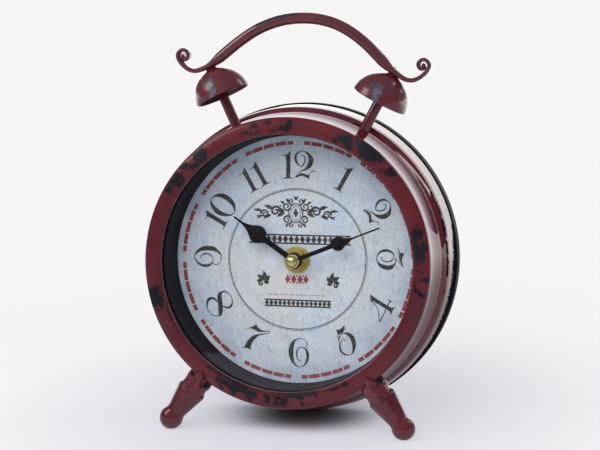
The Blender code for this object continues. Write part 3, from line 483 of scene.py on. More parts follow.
def softened(corners, steps=4):
    """Profile from (radius, station, rounding) corners; each corner is rounded over that length."""
    points = []
    count = len(corners)
    for i, (r, s, rounding) in enumerate(corners):
        here = Vector((r, s))
        if rounding == 0:
            points.append(here)
            continue
        before = Vector(corners[i - 1][:2]) - here
        after = Vector(corners[(i + 1) % count][:2]) - here
        first = here + before.normalized() * min(rounding, before.length * 0.48)
        last = here + after.normalized() * min(rounding, after.length * 0.48)
        for k in range(steps + 1):
            t = k / steps
            points.append(first * (1 - t) ** 2 + here * 2 * t * (1 - t) + last * t * t)
    return points


def turned(points, sides, axis=ALONG):
    """Body turned from a profile of (radius, station), which is closed unless it starts on the axis."""
    bm = bmesh.new()
    along, out = Vector(axis), Vector((1, 0, 0))
    corners = [bm.verts.new(out * r + along * s) for r, s in points]
    pairs = list(zip(corners, corners[1:]))
    if points[0][0] > 0:
        pairs.append((corners[-1], corners[0]))
    edges = [bm.edges.new(pair) for pair in pairs]
    bmesh.ops.spin(
        bm, geom=corners + edges, cent=(0, 0, 0), axis=along, angle=math.tau, steps=sides,
        use_merge=True, use_duplicate=False)
    bmesh.ops.remove_doubles(bm, verts=bm.verts, dist=1e-4)
    bmesh.ops.recalc_face_normals(bm, faces=bm.faces)
    return bm


def thicken(bm, faces, depth):
    """Extrudes flat faces along the case's axis."""
    grown = bmesh.ops.extrude_face_region(bm, geom=faces)
    moved = [item for item in grown["geom"] if isinstance(item, bmesh.types.BMVert)]
    bmesh.ops.translate(bm, vec=(0, depth, 0), verts=moved)


def smooth_route(points, steps):
    """Catmull-Rom curve through points of any number of values."""
    points = [Vector(p) for p in points]
    ends = [points[0] * 2 - points[1]] + points + [points[-1] * 2 - points[-2]]
    route = []
    for a, b, c, d in zip(ends, ends[1:], ends[2:], ends[3:]):
        for i in range(steps):
            t = i / steps
            route.append(0.5 * (2 * b + (c - a) * t + (2 * a - 5 * b + 4 * c - d) * t ** 2
                                + (3 * b - a - 3 * c + d) * t ** 3))
    route.append(points[-1])
    return route


def radial(angle, distance, depth):
    """Point at a clockwise angle from twelve and a distance from the case's axis."""
    turn = math.radians(angle)
    return Vector((math.sin(turn) * distance, depth, math.cos(turn) * distance))


def at_turn(angle, depth):
    """Frame whose Z points outwards at a clockwise angle from twelve."""
    return Matrix.Translation((0, depth, 0)) @ Matrix.Rotation(math.radians(angle), 4, "Y")


def on_post(side):
    """Frame of a bell's post, with Z outwards along its axis."""
    return at_turn(side * POST_ANGLE + TOP_SKEW, PLANE_Y)


def on_circle(centre, radius, angle):
    """Point (x, z) of a circle, at degrees counted from the right upwards."""
    turn = math.radians(angle)
    return centre[0] + radius * math.cos(turn), centre[1] + radius * math.sin(turn)


def arc(centre, radius, start, end, steps):
    return [on_circle(centre, radius, start + (end - start) * i / steps) for i in range(steps + 1)]


def worn_along(runs):
    """Wear that is 1 in the middle of each run (start, end, half width) and 0 at twice its half width; in
    the feet's notches it is painted shade.
    """
    def wear(point):
        most = 0.0
        for start, end, half in runs:
            start, end = Vector(start), Vector(end)
            along = end - start
            share = max(0.0, min(1.0, (point - start).dot(along) / max(along.length_squared, 1e-9)))
            most = max(most, 1.0 - 0.5 * (point - start - along * share).length / half)
        return most
    return wear


def bezel_wear(point):
    radius = math.hypot(point.x, point.z)
    level = radius
    if radius > 75.0 and point.y > 0.8:
        level = BEZEL_R + point.y - 0.8
    elif radius < 71.0 and point.y > -1.1:
        level = BEZEL_HOLE_R - point.y - 1.1
    angle = math.degrees(math.atan2(point.x, point.z)) % 360
    most = 0.0
    for at, middle, half_angle, half in BEZEL_SPOTS:
        if abs(level - middle) < 2 * half:
            turn = abs(angle - at)
            turn = min(turn, 360 - turn) / half_angle
            if turn < 2:
                most = max(most, 1.0 - 0.5 * math.hypot(turn, (level - middle) / half))
    return most


def linked(name, data):
    made = bpy.data.objects.new(name, data)
    bpy.context.scene.collection.objects.link(made)
    return made


def object_from(name, bm):
    """Object in the scene from a bmesh, which it uses up."""
    mesh = bpy.data.meshes.new(name)
    bm.to_mesh(mesh)
    bm.free()
    return linked(name, mesh)


def smooth_piece(made, sharp=38.0):
    made.data.shade_smooth()
    made.data.set_sharp_from_angle(angle=math.radians(sharp))


def finish(name, bm, look, slot, nodes=(), body="case", place=Matrix(), wear=None):
    """Object at the origin from a bmesh in the case's millimetres, riding on a body."""
    bmesh.ops.transform(bm, matrix=place, verts=bm.verts)
    if wear:
        layer = bm.verts.layers.float.new("wear")
        for vert in bm.verts:
            vert[layer] = wear(vert.co)
    bmesh.ops.transform(bm, matrix=CASE, verts=bm.verts)
    made = object_from(name, bm)
    smooth_piece(made)
    made.data.materials.append(look)
    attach(made, body)
    if nodes:
        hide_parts(*nodes)
    return made


def turned_piece(name, corners, sides, look, slot, replaced, axis=ALONG, **more):
    """Finished piece turned from the corners of its profile, in place of one solid."""
    return finish(name, turned(softened(corners), sides, axis), look, slot, [replaced], **more)


def cut(made, bm, place=Matrix()):
    """Cuts a bmesh in the case's millimetres out of a finished piece, for good."""
    bmesh.ops.transform(bm, matrix=CASE @ place, verts=bm.verts)
    other = object_from("cutter", bm)
    mesh = other.data
    step = made.modifiers.new("cut", "BOOLEAN")
    step.operation = "DIFFERENCE"
    step.object = other
    step.solver = "EXACT"
    settle(made)
    bpy.data.objects.remove(other, do_unlink=True)
    bpy.data.meshes.remove(mesh)


def settle(made):
    """Applies a piece's modifiers to its mesh."""
    deps = bpy.context.evaluated_depsgraph_get()
    mesh = bpy.data.meshes.new_from_object(made.evaluated_get(deps), depsgraph=deps)
    made.modifiers.clear()
    old = made.data
    made.data = mesh
    bpy.data.meshes.remove(old)
    mesh.name = made.name


def block(low, high):
    bm = bmesh.new()
    low, high = Vector(low), Vector(high)
    place = Matrix.Translation((low + high) / 2) @ Matrix.Diagonal((*(high - low), 1.0))
    bmesh.ops.create_cube(bm, size=1.0, matrix=place)
    return bm


def ball(centre, radius):
    bm = bmesh.new()
    bmesh.ops.create_uvsphere(
        bm, u_segments=24, v_segments=12, radius=radius, matrix=Matrix.Translation(centre))
    return bm


def rod(start, direction, length, radius, sides=24):
    bm = bmesh.new()
    direction = Vector(direction).normalized()
    turn = Vector((0, 0, 1)).rotation_difference(direction).to_matrix().to_4x4()
    place = Matrix.Translation(Vector(start) + direction * length / 2) @ turn
    bmesh.ops.create_cone(
        bm, cap_ends=True, segments=sides, radius1=radius, radius2=radius, depth=length, matrix=place)
    return bm


def bore_for_posts(made, start, length, radius):
    """Bores a hole about each post's axis, from a distance outwards from the case's axis."""
    for side in (-1, 1):
        angle = side * POST_ANGLE + TOP_SKEW
        cut(made, rod(radial(angle, start, PLANE_Y), radial(angle, 1.0, 0.0), length, radius))
    smooth_piece(made)


# Case pieces

def bezel():
    turned_piece("bezel_ring", [
        (79.0, 4.0, 0.3), (BEZEL_R, 4.0, 0.2), (BEZEL_R, 0.6, 1.4), (78.8, -0.5, 1.6),
        (76.3, -1.5, 2.0), (73.0, -1.9, 1.5), (71.2, -1.6, 0.8), (BEZEL_HOLE_R, -0.9, 0.7),
        (70.4, 1.4, 0.3), (71.4, 1.4, 0.2), (73.0, -0.7, 0.8), (79.0, 1.2, 0.8)],
        720, RED, "red_paint", "bezel", wear=bezel_wear)


def pane():
    front, rear = GLASS_Y
    turned_piece("glass_pane", [
        (0, front, 0), (GLASS_R - 1.0, front, 0), (GLASS_R, front, 0.3), (GLASS_R, rear, 0.3),
        (GLASS_R - 1.0, rear, 0), (0, rear, 0)], 192, GLASS, "clear_glass", "front_glass")


def pan():
    turned_piece("pressed_pan", [
        (77.0, 4.0, 0.1), (70.6, 4.0, 0.8), (69.8, 5.2, 0.8), (PAN_WALL_R, PAN_FLOOR_Y, 0.3),
        (4.6, PAN_FLOOR_Y, 0.1), (4.6, 30.6, 0.1), (70.5, 30.6, 0.8), (70.9, 6.8, 0.6),
        (71.4, 5.4, 0.4), (77.0, 5.4, 0.1)], 320, PAN_BLACK, "black_paint", "dial_pan")


def drum():
    outside = [
        (78.6, 1.5, 0.1), (78.6, 4.3, 0.1), (79.3, 4.7, 0.3), (79.4, 9.2, 2.2), (79.9, 13.2, 2.2),
        (80.9, 18.2, 2.2), (82.2, 23.0, 0.5), (82.0, 24.2, 0.5), (83.4, 26.6, 1.4), (84.9, 30.0, 0.9),
        (85.0, 31.4, 0.4), (85.3, 32.6, 0.8), (85.7, 39.0, 3.0), (86.3, 46.6, 1.0), (86.3, CASE_END, 0.3)]
    inside = [
        (76.0, CASE_END, 0.2), (76.0, 46.2, 0.2), (83.6, 46.2, 0.6), (83.6, 35.0, 3.0),
        (79.5, 27.8, 3.0), (78.4, 18.0, 3.0), (78.4, 6.9, 0.5), (72.5, 6.9, 0.2), (72.5, 5.8, 0.2),
        (77.5, 5.8, 0.5), (77.5, 1.5, 0.1)]
    made = finish("drum_shell", turned(softened(outside + inside, 5), 384), DRUM_RED, "red_paint",
                  ["case_body"], wear=worn_along(DRUM_WEAR_AND_BLACK_BAND))
    bore_for_posts(made, 70.0, 16.0, POST_R + 0.15)


def rear_dish():
    """Black dish behind the case; the panel inside its rim has a coat of its own."""
    made = turned_piece("rear_dish", [
        (86.4, COVER_Y, 0.4), (RIM_R, COVER_Y + 1.0, 0.6), (RIM_R, RIM_END, 0.7),
        (85.6, RIM_END, 0.7), (85.5, COVER_REAR + 0.9, 0.8), (84.6, COVER_REAR, 0.8),
        (20.0, COVER_REAR, 0.1), (20.0, COVER_Y, 0.1)], 384, REAR_BLACK, "black_paint", "rear_cover")
    half = COVER_OPENING / 2
    cut(made, block((-half, 44, -half), (half, 54, half)))
    for angle in COVER_SCREW_ANGLES:
        cut(made, rod(radial(angle, COVER_SCREW_AT, 44.0), ALONG, 8.0, 1.5))
    smooth_piece(made)
    made.data.materials.append(COVER_BLACK)
    to_case = CASE.inverted()
    for face in made.data.polygons:
        middle = to_case @ face.center
        face.material_index = int(
            middle.y > COVER_REAR - 0.6 and math.hypot(middle.x, middle.z) < COVER_PANEL_R)


def cover_screw(index, angle):
    head = COVER_REAR + 0.15
    made = turned_piece(f"pan_head_screw_{index}", [
        (0, 42.0, 0), (0.6, 42.0, 0.1), (1.2, 43.1, 0.2), (1.2, head, 0.1), (2.9, head, 0.3),
        (2.8, head + 0.8, 0.4), (1.5, head + 1.7, 0.8), (0, head + 1.8, 0)],
        40, STEEL, "steel", f"cover_screw_{index}",
        place=Matrix.Translation(radial(angle, COVER_SCREW_AT, 0.0)))
    centre = radial(angle, COVER_SCREW_AT, head + 1.6)
    for across, up in ((1.5, 0.28), (0.28, 1.5)):
        half = Vector((across, 0.7, up))
        cut(made, block(centre - half, centre + half))
    smooth_piece(made)


def foot(label, side):
    """Cast foot, softened all over as a casting under thick paint is; the insides of its notches are
    painted near-black as painted shade.
    """
    profile = softened([
        (0, BALL_AT + BALL_R, 0), (2.6, BALL_AT + 6.2, 1.0), (4.8, BALL_AT + 4.6, 1.0),
        (6.2, BALL_AT + 2.3, 1.2), (BALL_R, BALL_AT, 1.2), (6.3, BALL_AT - 2.0, 1.0),
        (5.35, 105.7, 0.8), (5.4, 104.4, 0.8), (8.1, 90.8, 0.6), (8.1, 89.6, 0.4), (7.3, 88.7, 0.5),
        (6.9, 87.0, 0.8), (7.0, 85.6, 0.8), (7.5, 84.0, 0.8), (7.5, 82.0, 0.8), (7.2, CROWN_AT, 0.6),
        (0, CROWN_AT, 0)])
    place = at_turn(180 - side * FOOT_ANGLE, FOOT_Y)
    bm = turned(profile, 72, OUTWARDS)
    lumps = [rod((0, -1.1, 92.5), (0, 0.01, -1), 12.0, 6.95, 64),
             rod((0, -6.3, 84.0), (0, -0.04, -1), 5.6, 1.6)]
    lumps += [ball(centre, radius) for *centre, radius in FOOT_BEADS[label]]
    for lump in lumps:
        mesh = bpy.data.meshes.new("lump")
        lump.to_mesh(mesh)
        lump.free()
        bm.from_mesh(mesh)
        bpy.data.meshes.remove(mesh)
    made = finish(f"{label}_cast_foot", bm, FOOT_RED, "red_paint", [f"{label}_foot"], place=place)
    soften_casting(made, 6)
    # Near-black painted shade inside the notches, laid through the worn-paint mask.
    worn = []
    for across, out, radius in FOOT_NOTCHES[label]:
        cut(made, ball((across, NOTCH_Y, out), radius), place)
        worn.append(((across, NOTCH_Y + 1.0, out), (across, NOTCH_Y + 3.4, out), radius * 0.62))
    cut(made, rod((0, 5.8, 79.0), OUTWARDS, 8.2, 1.5), place)
    cut(made, floor_block())
    soften_casting(made, 14)
    wear = worn_along(worn)
    layer = made.data.attributes.new("wear", "FLOAT", "POINT")
    back = (CASE @ place).inverted()
    for vert, value in zip(made.data.vertices, layer.data):
        value.value = wear(back @ vert.co)


def floor_block():
    """Everything below the floor, as the case's frame sees it."""
    bm = block((-200, -120, -30), (200, 120, 0))
    bmesh.ops.transform(bm, matrix=CASE.inverted() @ Matrix.Scale(MM, 4), verts=bm.verts)
    return bm


def soften_casting(made, passes):
    """Rounds every edge a little by a fine remesh and a few smoothing passes."""
    remesh = made.modifiers.new("remesh", "REMESH")
    remesh.mode = "VOXEL"
    remesh.voxel_size = CASTING_GRAIN
    remesh.use_smooth_shade = True
    smooth = made.modifiers.new("smooth", "SMOOTH")
    smooth.factor = 0.5
    smooth.iterations = passes
    settle(made)


def post(label, side):
    top = BELL_RIM_AT + BELL_R - BELL_WALL - 0.3
    turned_piece(f"{label}_bell_post", [
        (0, 74.5, 0), (2.4, 74.5, 0.2), (POST_R, 75.2, 0.3), (POST_R, top, 0.3), (1.6, top, 0.1),
        (1.6, top - 7.0, 0.1), (0, top - 7.0, 0)],
        64, POST_RED, "red_paint", f"{label}_post", OUTWARDS, place=on_post(side))


def bell(label, side):
    """Half-round cup with a rolled rim, whose crown runs up in a hollow flare to the handle."""
    inner = BELL_R - BELL_WALL
    top = BELL_RIM_AT + BELL_R
    half = BELL_WALL / 2
    rim = (BELL_R - half, BELL_RIM_AT + half)
    steps = 28
    outside = [(BELL_R, rim[1])] + arc((0, BELL_RIM_AT), BELL_R, 0, 72, steps)[1:]
    flare = [(4.1, top - 0.42), (3.5, top - 0.12), (3.05, top + 0.2), (2.8, top + 0.5), (1.7, top + 0.5)]
    inside = [(inner, rim[1])] + arc((0, BELL_RIM_AT), inner, 0, 84, steps)[1:]
    rolled = [on_circle(rim, half, -angle) for angle in (155, 130, 105, 90, 75, 50, 25)]
    profile = outside + flare + [(1.7, BELL_RIM_AT + inner)] + inside[::-1] + rolled
    finish(f"{label}_bell_cup", turned(profile, 128, OUTWARDS), BELL_RED, "red_paint", [f"{label}_bell"],
           place=on_post(side), wear=worn_along(BELL_WEAR[label]))


def collar(label, side):
    """Waisted collar that carries on the bell's flare up to the handle."""
    low = BELL_RIM_AT + BELL_R + 0.52
    turned_piece(f"{label}_flared_collar", [
        (2.8, low, 0.05), (2.35, low + 0.4, 0.2), (2.6, low + 0.9, 0.1), (1.7, low + 0.9, 0.05),
        (1.7, low, 0.05)], 48, FOOT_RED, "red_paint", f"{label}_spacer", OUTWARDS, place=on_post(side))


def handle_screw(label, side):
    head = STRIP_MIDDLE + STRIP_HALF_THICK - 0.45
    turned_piece(f"{label}_dome_screw", [
        (0, 110.5, 0), (1.0, 110.5, 0.1), (1.35, 111.2, 0.2), (1.35, head, 0.1), (2.0, head, 0.1),
        (1.9, head + 0.2, 0.2), (1.0, head + 0.4, 0.5), (0, head + 0.42, 0)],
        48, FOOT_RED, "red_paint", f"{label}_handle_screw", OUTWARDS, place=on_post(side))


# Middle line of the handle's halves (x, z): the round arch from near its crown to the flattening, then
# the flat scroll from the bell's axis to its heart. The real one is bent by hand, so its sides differ.
ARCH_CROWN = 133.85
ARCH = {
    "left": [(9.3, 132.85), (18.3, 130.25), (27.3, 125.9), (36.4, 119.5), (45.2, 112.1), (49.3, 108.5)],
    "right": [(9.0, 133.4), (18.0, 131.25), (27.0, 127.0), (36.1, 120.4), (45.3, 111.7), (49.4, 108.1)]}
SCROLL = [
    (53.0, 105.75), (57.2, 103.3), (61.1, 102.3), (64.8, 103.2), (68.6, 106.0), (70.7, 108.9),
    (71.1, 110.8), (70.1, 112.9), (68.0, 113.8), (65.9, 112.9), (65.0, 111.0), (65.6, 109.3),
    (66.8, 108.6), (67.9, 109.2), (68.0, 110.4), (67.2, 110.9)]
SCROLL_SHIFT = {"left": (-0.6, 0.7), "right": (0.6, -0.7)}


def section_at(distance):
    """Half thickness, half width and squareness, by distance past the joint along the handle."""
    share = min(max((distance + 10.0) / 11.5, 0.0), 1.0)
    share = share * share * (3 - 2 * share)
    thick = TUBE_R + (STRIP_HALF_THICK - TUBE_R) * share
    width = TUBE_R + (STRIP_HALF_WIDTH - TUBE_R) * share
    thinned = min(max((distance - 3.0) / 22.0, 0.0), 1.0)
    return thick - 0.4 * thinned, width - 0.6 * thinned, 1.0 - 0.4 * share


def swept(route, sections, sides):
    """Bar along an (x, z) route; a section is half thickness, half width and squareness."""
    bm = bmesh.new()
    before = None
    last = len(route) - 1
    for i, (point, (thick, width, power)) in enumerate(zip(route, sections)):
        along = (route[min(i + 1, last)] - route[max(i - 1, 0)]).normalized()
        across = Vector((-along.y, along.x))
        ring = bmesh.ops.create_circle(bm, cap_ends=i in (0, last), segments=sides, radius=1.0)
        for vert in ring["verts"]:
            a = math.copysign(abs(vert.co.x) ** power, vert.co.x) * thick
            b = math.copysign(abs(vert.co.y) ** power, vert.co.y) * width
            vert.co = Vector((point.x + across.x * a, b, point.y + across.y * a))
        edges = list({edge for vert in ring["verts"] for edge in vert.link_edges})
        if before is not None:
            bmesh.ops.bridge_loops(bm, edges=before + edges)
        before = edges
    return bm


def handle():
    halves = {}
    for label, side in SIDES:
        across, up = SCROLL_SHIFT[label]
        scroll = SCROLL[:1] + [(x + across, z + up) for x, z in SCROLL[1:]]
        halves[label] = [(side * x, z) for x, z in ARCH[label] + scroll]
    points = halves["left"][::-1] + [(0.0, ARCH_CROWN)] + halves["right"]
    steps = 8
    route = smooth_route(points, steps)
    lengths = [0.0]
    for a, b in zip(route, route[1:]):
        lengths.append(lengths[-1] + (b - a).length)
    left_joint = lengths[(len(SCROLL) - 1) * steps]
    right_joint = lengths[(len(points) - len(SCROLL)) * steps]
    sections = [section_at(max(left_joint - length, length - right_joint)) for length in lengths]
    bm = swept(route, sections, 32)
    bmesh.ops.recalc_face_normals(bm, faces=bm.faces)
    made = finish("scrolled_handle", bm, HANDLE_RED, "red_paint", ["handle"],
                  place=at_turn(TOP_SKEW, PLANE_Y), wear=worn_along(HANDLE_WEAR))
    bore_for_posts(made, STRIP_MIDDLE - 4.0, 8.0, 1.7)


# Dial and its print

def dial_card():
    turned_piece("dial_card", [
        (4.2, DIAL_Y, 0), (DIAL_R, DIAL_Y, 0), (DIAL_R, DIAL_REAR, 0), (4.2, DIAL_REAR, 0)],
        256, PAPER, "dial_card", "dial")


class Print:
    """Thin flat marks on the dial; each lies a hair above the one before it."""

    def __init__(self):
        self.bm = bmesh.new()
        self.count = 0

    def next_level(self):
        level = DIAL_Y - INK_LIFT - INK_STEP * (self.count % INK_LEVELS)
        self.count += 1
        return level

    def corner(self, place, x, z, level):
        spot = place @ Vector((x, 0, z))
        return self.bm.verts.new((spot.x, level, spot.z))

    def fill(self, faces, level):
        thicken(self.bm, faces, DIAL_Y - INK_FOOT - level)

    def plate(self, outline, place=Matrix()):
        """Closed plate of ink from an outline of (x, z) points."""
        level = self.next_level()
        corners = [self.corner(place, x, z, level) for x, z in outline]
        self.fill([self.bm.faces.new(corners)], level)

    def stroke(self, points, place=Matrix(), steps=5, smooth=True):
        """Pen stroke along (x, z, half width) points."""
        level = self.next_level()
        route = smooth_route(points, steps) if smooth else [Vector(p) for p in points]
        last = len(route) - 1
        pairs = []
        for i, point in enumerate(route):
            along = route[min(i + 1, last)] - route[max(i - 1, 0)]
            across = Vector((-along.y, along.x)).normalized() * max(point.z, 0.004)
            pairs.append([self.corner(place, point.x + across.x * way, point.y + across.y * way, level)
                          for way in (-1, 1)])
        self.fill([self.bm.faces.new((a[0], a[1], b[1], b[0])) for a, b in zip(pairs, pairs[1:])], level)

    def dot(self, centre, radius, place=Matrix()):
        self.plate(arc(centre, radius, 0, 360, 16)[:-1], place)

    def oval(self, wide, high, half, place=Matrix(), sides=24):
        """Closed line around an ellipse, from its half width and half height."""
        turns = [math.tau * i / sides for i in range(sides + 1)]
        self.stroke([(wide * math.sin(a), high * math.cos(a), half) for a in turns], place, smooth=False)

    def done(self, name, look):
        bmesh.ops.remove_doubles(self.bm, verts=self.bm.verts, dist=1e-5)
        bmesh.ops.recalc_face_normals(self.bm, faces=self.bm.faces)
        finish(name, self.bm, look, "dial_card")


# Numerals drawn with a broad pen, one unit high: plates of (across, up), strokes of (across, up, half
# width) and dots of (across, up, radius)
NUMERALS = {
    "0": ([], [
        [(.26, .99, .014), (.42, .9, .04), (.54, .72, .08), (.565, .5, .09), (.52, .25, .08),
         (.40, .08, .04), (.25, .01, .014), (.12, .06, .025), (.02, .22, .05), (-.04, .42, .08),
         (-.03, .62, .085), (.04, .82, .06), (.14, .95, .028), (.26, .99, .014)]], []),
    "1": ([
        [(-.24, .885), (-.10, .895), (0, .96), (.085, 1.07), (.08, .6), (.085, .12), (.11, .095),
         (.21, .06), (.20, .04), (.08, .06), (-.05, .06), (-.19, .03), (-.20, .055), (-.10, .09),
         (-.065, .13), (-.07, .6), (-.085, .86), (-.24, .865)]], [], []),
    "2": ([
        [(-.40, .13), (-.33, .22), (-.25, .28), (-.17, .295), (-.08, .265), (0, .23), (.06, .235),
         (.115, .26), (.10, .18), (.085, .08), (.02, .115), (-.07, .165), (-.17, .195), (-.27, .175),
         (-.34, .14)]], [
        [(-.23, .88, .014), (-.17, .93, .014), (-.09, .87, .02), (-.07, .75, .022), (-.13, .6, .024),
         (-.22, .535, .015), (-.34, .62, .03), (-.42, .78, .045), (-.385, .96, .035),
         (-.25, 1.07, .016), (-.13, 1.075, .014), (.02, 1.0, .035), (.13, .86, .075), (.145, .70, .09),
         (.08, .55, .075), (-.04, .44, .04), (-.2, .36, .018), (-.32, .28, .012), (-.42, .12, .02)],
        [(.09, .24, .015), (.15, .33, .012), (.22, .375, .016), (.28, .365, .014), (.31, .32, .012)]],
        []),
    "3": ([
        [(-.57, .805), (-.50, .815), (-.42, .85), (-.375, .88), (-.37, 1.0), (-.29, .99), (-.2, .95),
         (-.1, .935), (.02, .965), (.14, 1.005), (.15, .985), (.05, .94), (-.05, .87), (-.14, .83),
         (-.25, .82), (-.36, .835), (-.45, .80), (-.57, .785)]], [
        [(.12, .98, .012), (0, .86, .014), (-.10, .77, .014), (-.17, .71, .012)],
        [(-.17, .705, .012), (-.06, .705, .016), (.06, .66, .035), (.155, .52, .08), (.165, .36, .08),
         (.10, .18, .06), (0, .07, .03), (-.12, .025, .016), (-.25, .045, .022), (-.38, .14, .038),
         (-.44, .30, .05), (-.43, .46, .045), (-.35, .60, .028), (-.23, .645, .012), (-.12, .60, .018),
         (-.06, .49, .022), (-.04, .38, .022), (-.07, .26, .018), (-.13, .19, .015),
         (-.19, .21, .014)]], [(-.19, .225, .02)]),
    "4": ([
        [(.14, .77), (.155, .865), (.25, .92), (.34, 1.0), (.33, .6), (.335, .12), (.36, .05), (.46, 0),
         (.45, -.02), (.30, 0), (.11, -.03), (.11, -.01), (.19, .05), (.20, .13), (.195, .6),
         (.19, .80)]], [
        [(.16, .78, .018), (.12, .64, .016), (.03, .48, .014), (-.12, .35, .014), (-.32, .21, .016)],
        [(-.32, .195, .018), (0, .21, .018), (.25, .24, .018), (.51, .245, .018)],
        [(.54, .35, .01), (.515, .25, .022), (.54, .14, .01)]], []),
    "5": ([
        [(.02, 1.03), (.08, .99), (.18, .97), (.28, .99), (.37, 1.04), (.35, .97), (.30, .87),
         (.2, .82), (.08, .815), (-.02, .82), (0, .92)]], [
        [(-.01, .85, .012), (-.06, .72, .014), (-.10, .60, .016)],
        [(-.10, .60, .014), (-.03, .70, .02), (.08, .775, .015), (.2, .785, .018), (.32, .70, .05),
         (.39, .54, .08), (.38, .38, .08), (.31, .2, .065), (.19, .05, .035), (.07, -.01, .014),
         (-.05, .03, .02), (-.15, .12, .03), (-.20, .27, .035), (-.15, .44, .03), (-.06, .55, .02),
         (.04, .585, .012), (.10, .555, .012)]], [(.115, .53, .022)]),
    "6": ([], [
        [(.31, .765, .015), (.37, .79, .016), (.37, .90, .014), (.28, 1.01, .012), (.12, 1.045, .014),
         (-.03, 1.0, .025), (-.14, .88, .06), (-.205, .68, .085), (-.21, .48, .088), (-.17, .28, .07),
         (-.08, .12, .04), (.04, .03, .02), (.16, .02, .014), (.30, .11, .028), (.39, .27, .045),
         (.405, .45, .048), (.36, .62, .038), (.27, .71, .02), (.15, .725, .012), (.04, .66, .022),
         (0, .52, .028), (.01, .37, .024), (.06, .26, .016), (.13, .245, .016)]],
        [(.155, .27, .022)]),
    "7": ([
        [(-.355, .75), (-.26, .84), (-.20, .93), (-.125, 1.07), (-.05, 1.015), (.05, .99), (.15, .985),
         (.27, 1.03), (.40, 1.10), (.41, 1.085), (.29, 1.0), (.16, .905), (.05, .86), (-.08, .85),
         (-.2, .84), (-.27, .80), (-.34, .73)],
        [(.41, 1.03), (.25, .90), (.14, .81), (.04, .72), (-.05, .58), (-.09, .42), (-.10, .25),
         (-.08, .14), (-.15, .04), (-.14, .03), (-.05, .10), (.05, .14), (.18, .16), (.13, .22),
         (.10, .30), (.09, .42), (.10, .55), (.13, .68), (.18, .78), (.28, .87), (.43, 1.01)]], [
        [(.39, 1.095, .012), (.44, 1.09, .014), (.43, 1.05, .012)]], []),
    "8": ([], [
        [(-.33, .80, .04), (-.30, .92, .025), (-.18, 1.01, .016), (0, 1.045, .014), (.15, 1.0, .02),
         (.26, .90, .035), (.29, .79, .04), (.23, .68, .035), (.13, .60, .02)],
        [(-.335, .80, .035), (-.28, .70, .075), (-.15, .62, .085), (.05, .54, .085), (.22, .45, .085),
         (.34, .37, .06), (.385, .29, .02)],
        [(-.10, .50, .02), (-.24, .45, .04), (-.325, .34, .05), (-.30, .2, .05), (-.2, .10, .03),
         (-.06, .045, .016), (.10, .04, .014), (.24, .10, .016), (.33, .2, .014),
         (.375, .32, .02)]], []),
    "9": ([], [
        [(-.19, .245, .014), (-.25, .22, .016), (-.25, .12, .016), (-.17, .02, .014),
         (-.03, -.03, .014), (.10, -.02, .02), (.22, .08, .045), (.32, .25, .075), (.34, .45, .085),
         (.32, .65, .075), (.24, .82, .055), (.13, .93, .03), (0, .965, .014), (-.13, .91, .025),
         (-.25, .77, .04), (-.30, .60, .05), (-.28, .43, .045), (-.19, .31, .025), (-.07, .27, .012),
         (.06, .33, .02), (.13, .46, .026), (.13, .6, .026), (.07, .71, .018), (0, .745, .012),
         (-.03, .72, .014)]], [(-.02, .72, .022)]),
}
# Numerals of each hour, with their place across and up and their share of the full height
HOURS = {hour: [(str(hour), 0.0, 0.0, 1.0)] for hour in range(2, 10)}
HOURS[1] = [("1", -0.02, 0.0, 1.0)]
HOURS[10] = [("1", -0.305, 0.0, 0.92), ("0", 0.0, 0.0, 1.0)]
HOURS[11] = [("1", -0.165, 0.0, 0.94), ("1", 0.295, 0.0, 0.94)]
HOURS[12] = [("1", -0.38, 0.0, 1.0), ("2", 0.31, -0.03, 1.0)]


def hour_numerals():
    """Plain hour numerals, upright to the rim from nine to three and to the centre below."""
    marks = Print()
    centre = Vector((PRINT_CENTRE[0], 0, PRINT_CENTRE[1]))
    for hour, numerals in HOURS.items():
        turn = hour * 30 + (180 if 4 <= hour <= 8 else 0)
        middle = Matrix.Translation(centre + radial(hour * 30, NUMERAL_AT, 0.0))
        seat = (middle @ Matrix.Rotation(math.radians(turn), 4, "Y")
                @ Matrix.Scale(NUMERAL_HEIGHT, 4) @ Matrix.Translation((0, 0, -0.5)))
        for numeral, across, up, height in numerals:
            place = seat @ Matrix.Translation((across, 0, up)) @ Matrix.Diagonal((1, 1, height, 1))
            plates, strokes, dots = NUMERALS[numeral]
            for outline in plates:
                marks.plate(outline, place)
            for points in strokes:
                marks.stroke(points, place)
            for x, z, radius in dots:
                marks.dot((x, z), radius, place)
    marks.done("hour_numerals", INK)


def minute_track():
    """Brick-red dashes, cut at each minute and open at each hour."""
    marks = Print()
    half_gap, half_cut = 2.65, 0.3
    edges = [half_gap] + [6.0 * k for k in range(1, 5)] + [30.0 - half_gap]
    for hour in range(12):
        for k, (low, high) in enumerate(zip(edges, edges[1:])):
            first = low + (half_cut if k > 0 else 0.0)
            last = high - (half_cut if k < 4 else 0.0)
            dash = arc(PRINT_CENTRE, TRACK_R, 90 - hour * 30 - first, 90 - hour * 30 - last, 4)
            marks.stroke([(x, z, TRACK_WIDTH / 2) for x, z in dash], smooth=False)
    marks.done("minute_track", RED_INK)


def inner_circles():
    marks = Print()
    place = Matrix.Translation((0.15, 0, 0))
    for radius, half in ((39.0, 0.24), (39.75, 0.13)):
        marks.oval(radius, radius, half, place, 192)
    marks.done("inner_circles", INK)


def spiral(centre, radius, start, turns, thick):
    """Scroll that winds inwards from a start angle in degrees; turns may be negative."""
    points = []
    steps = 14
    for i in range(steps + 1):
        share = i / steps
        spot = on_circle(centre, radius * (1 - 0.82 * share), start + 360 * turns * share)
        points.append((*spot, thick * (1.3 - 0.6 * share)))
    return points


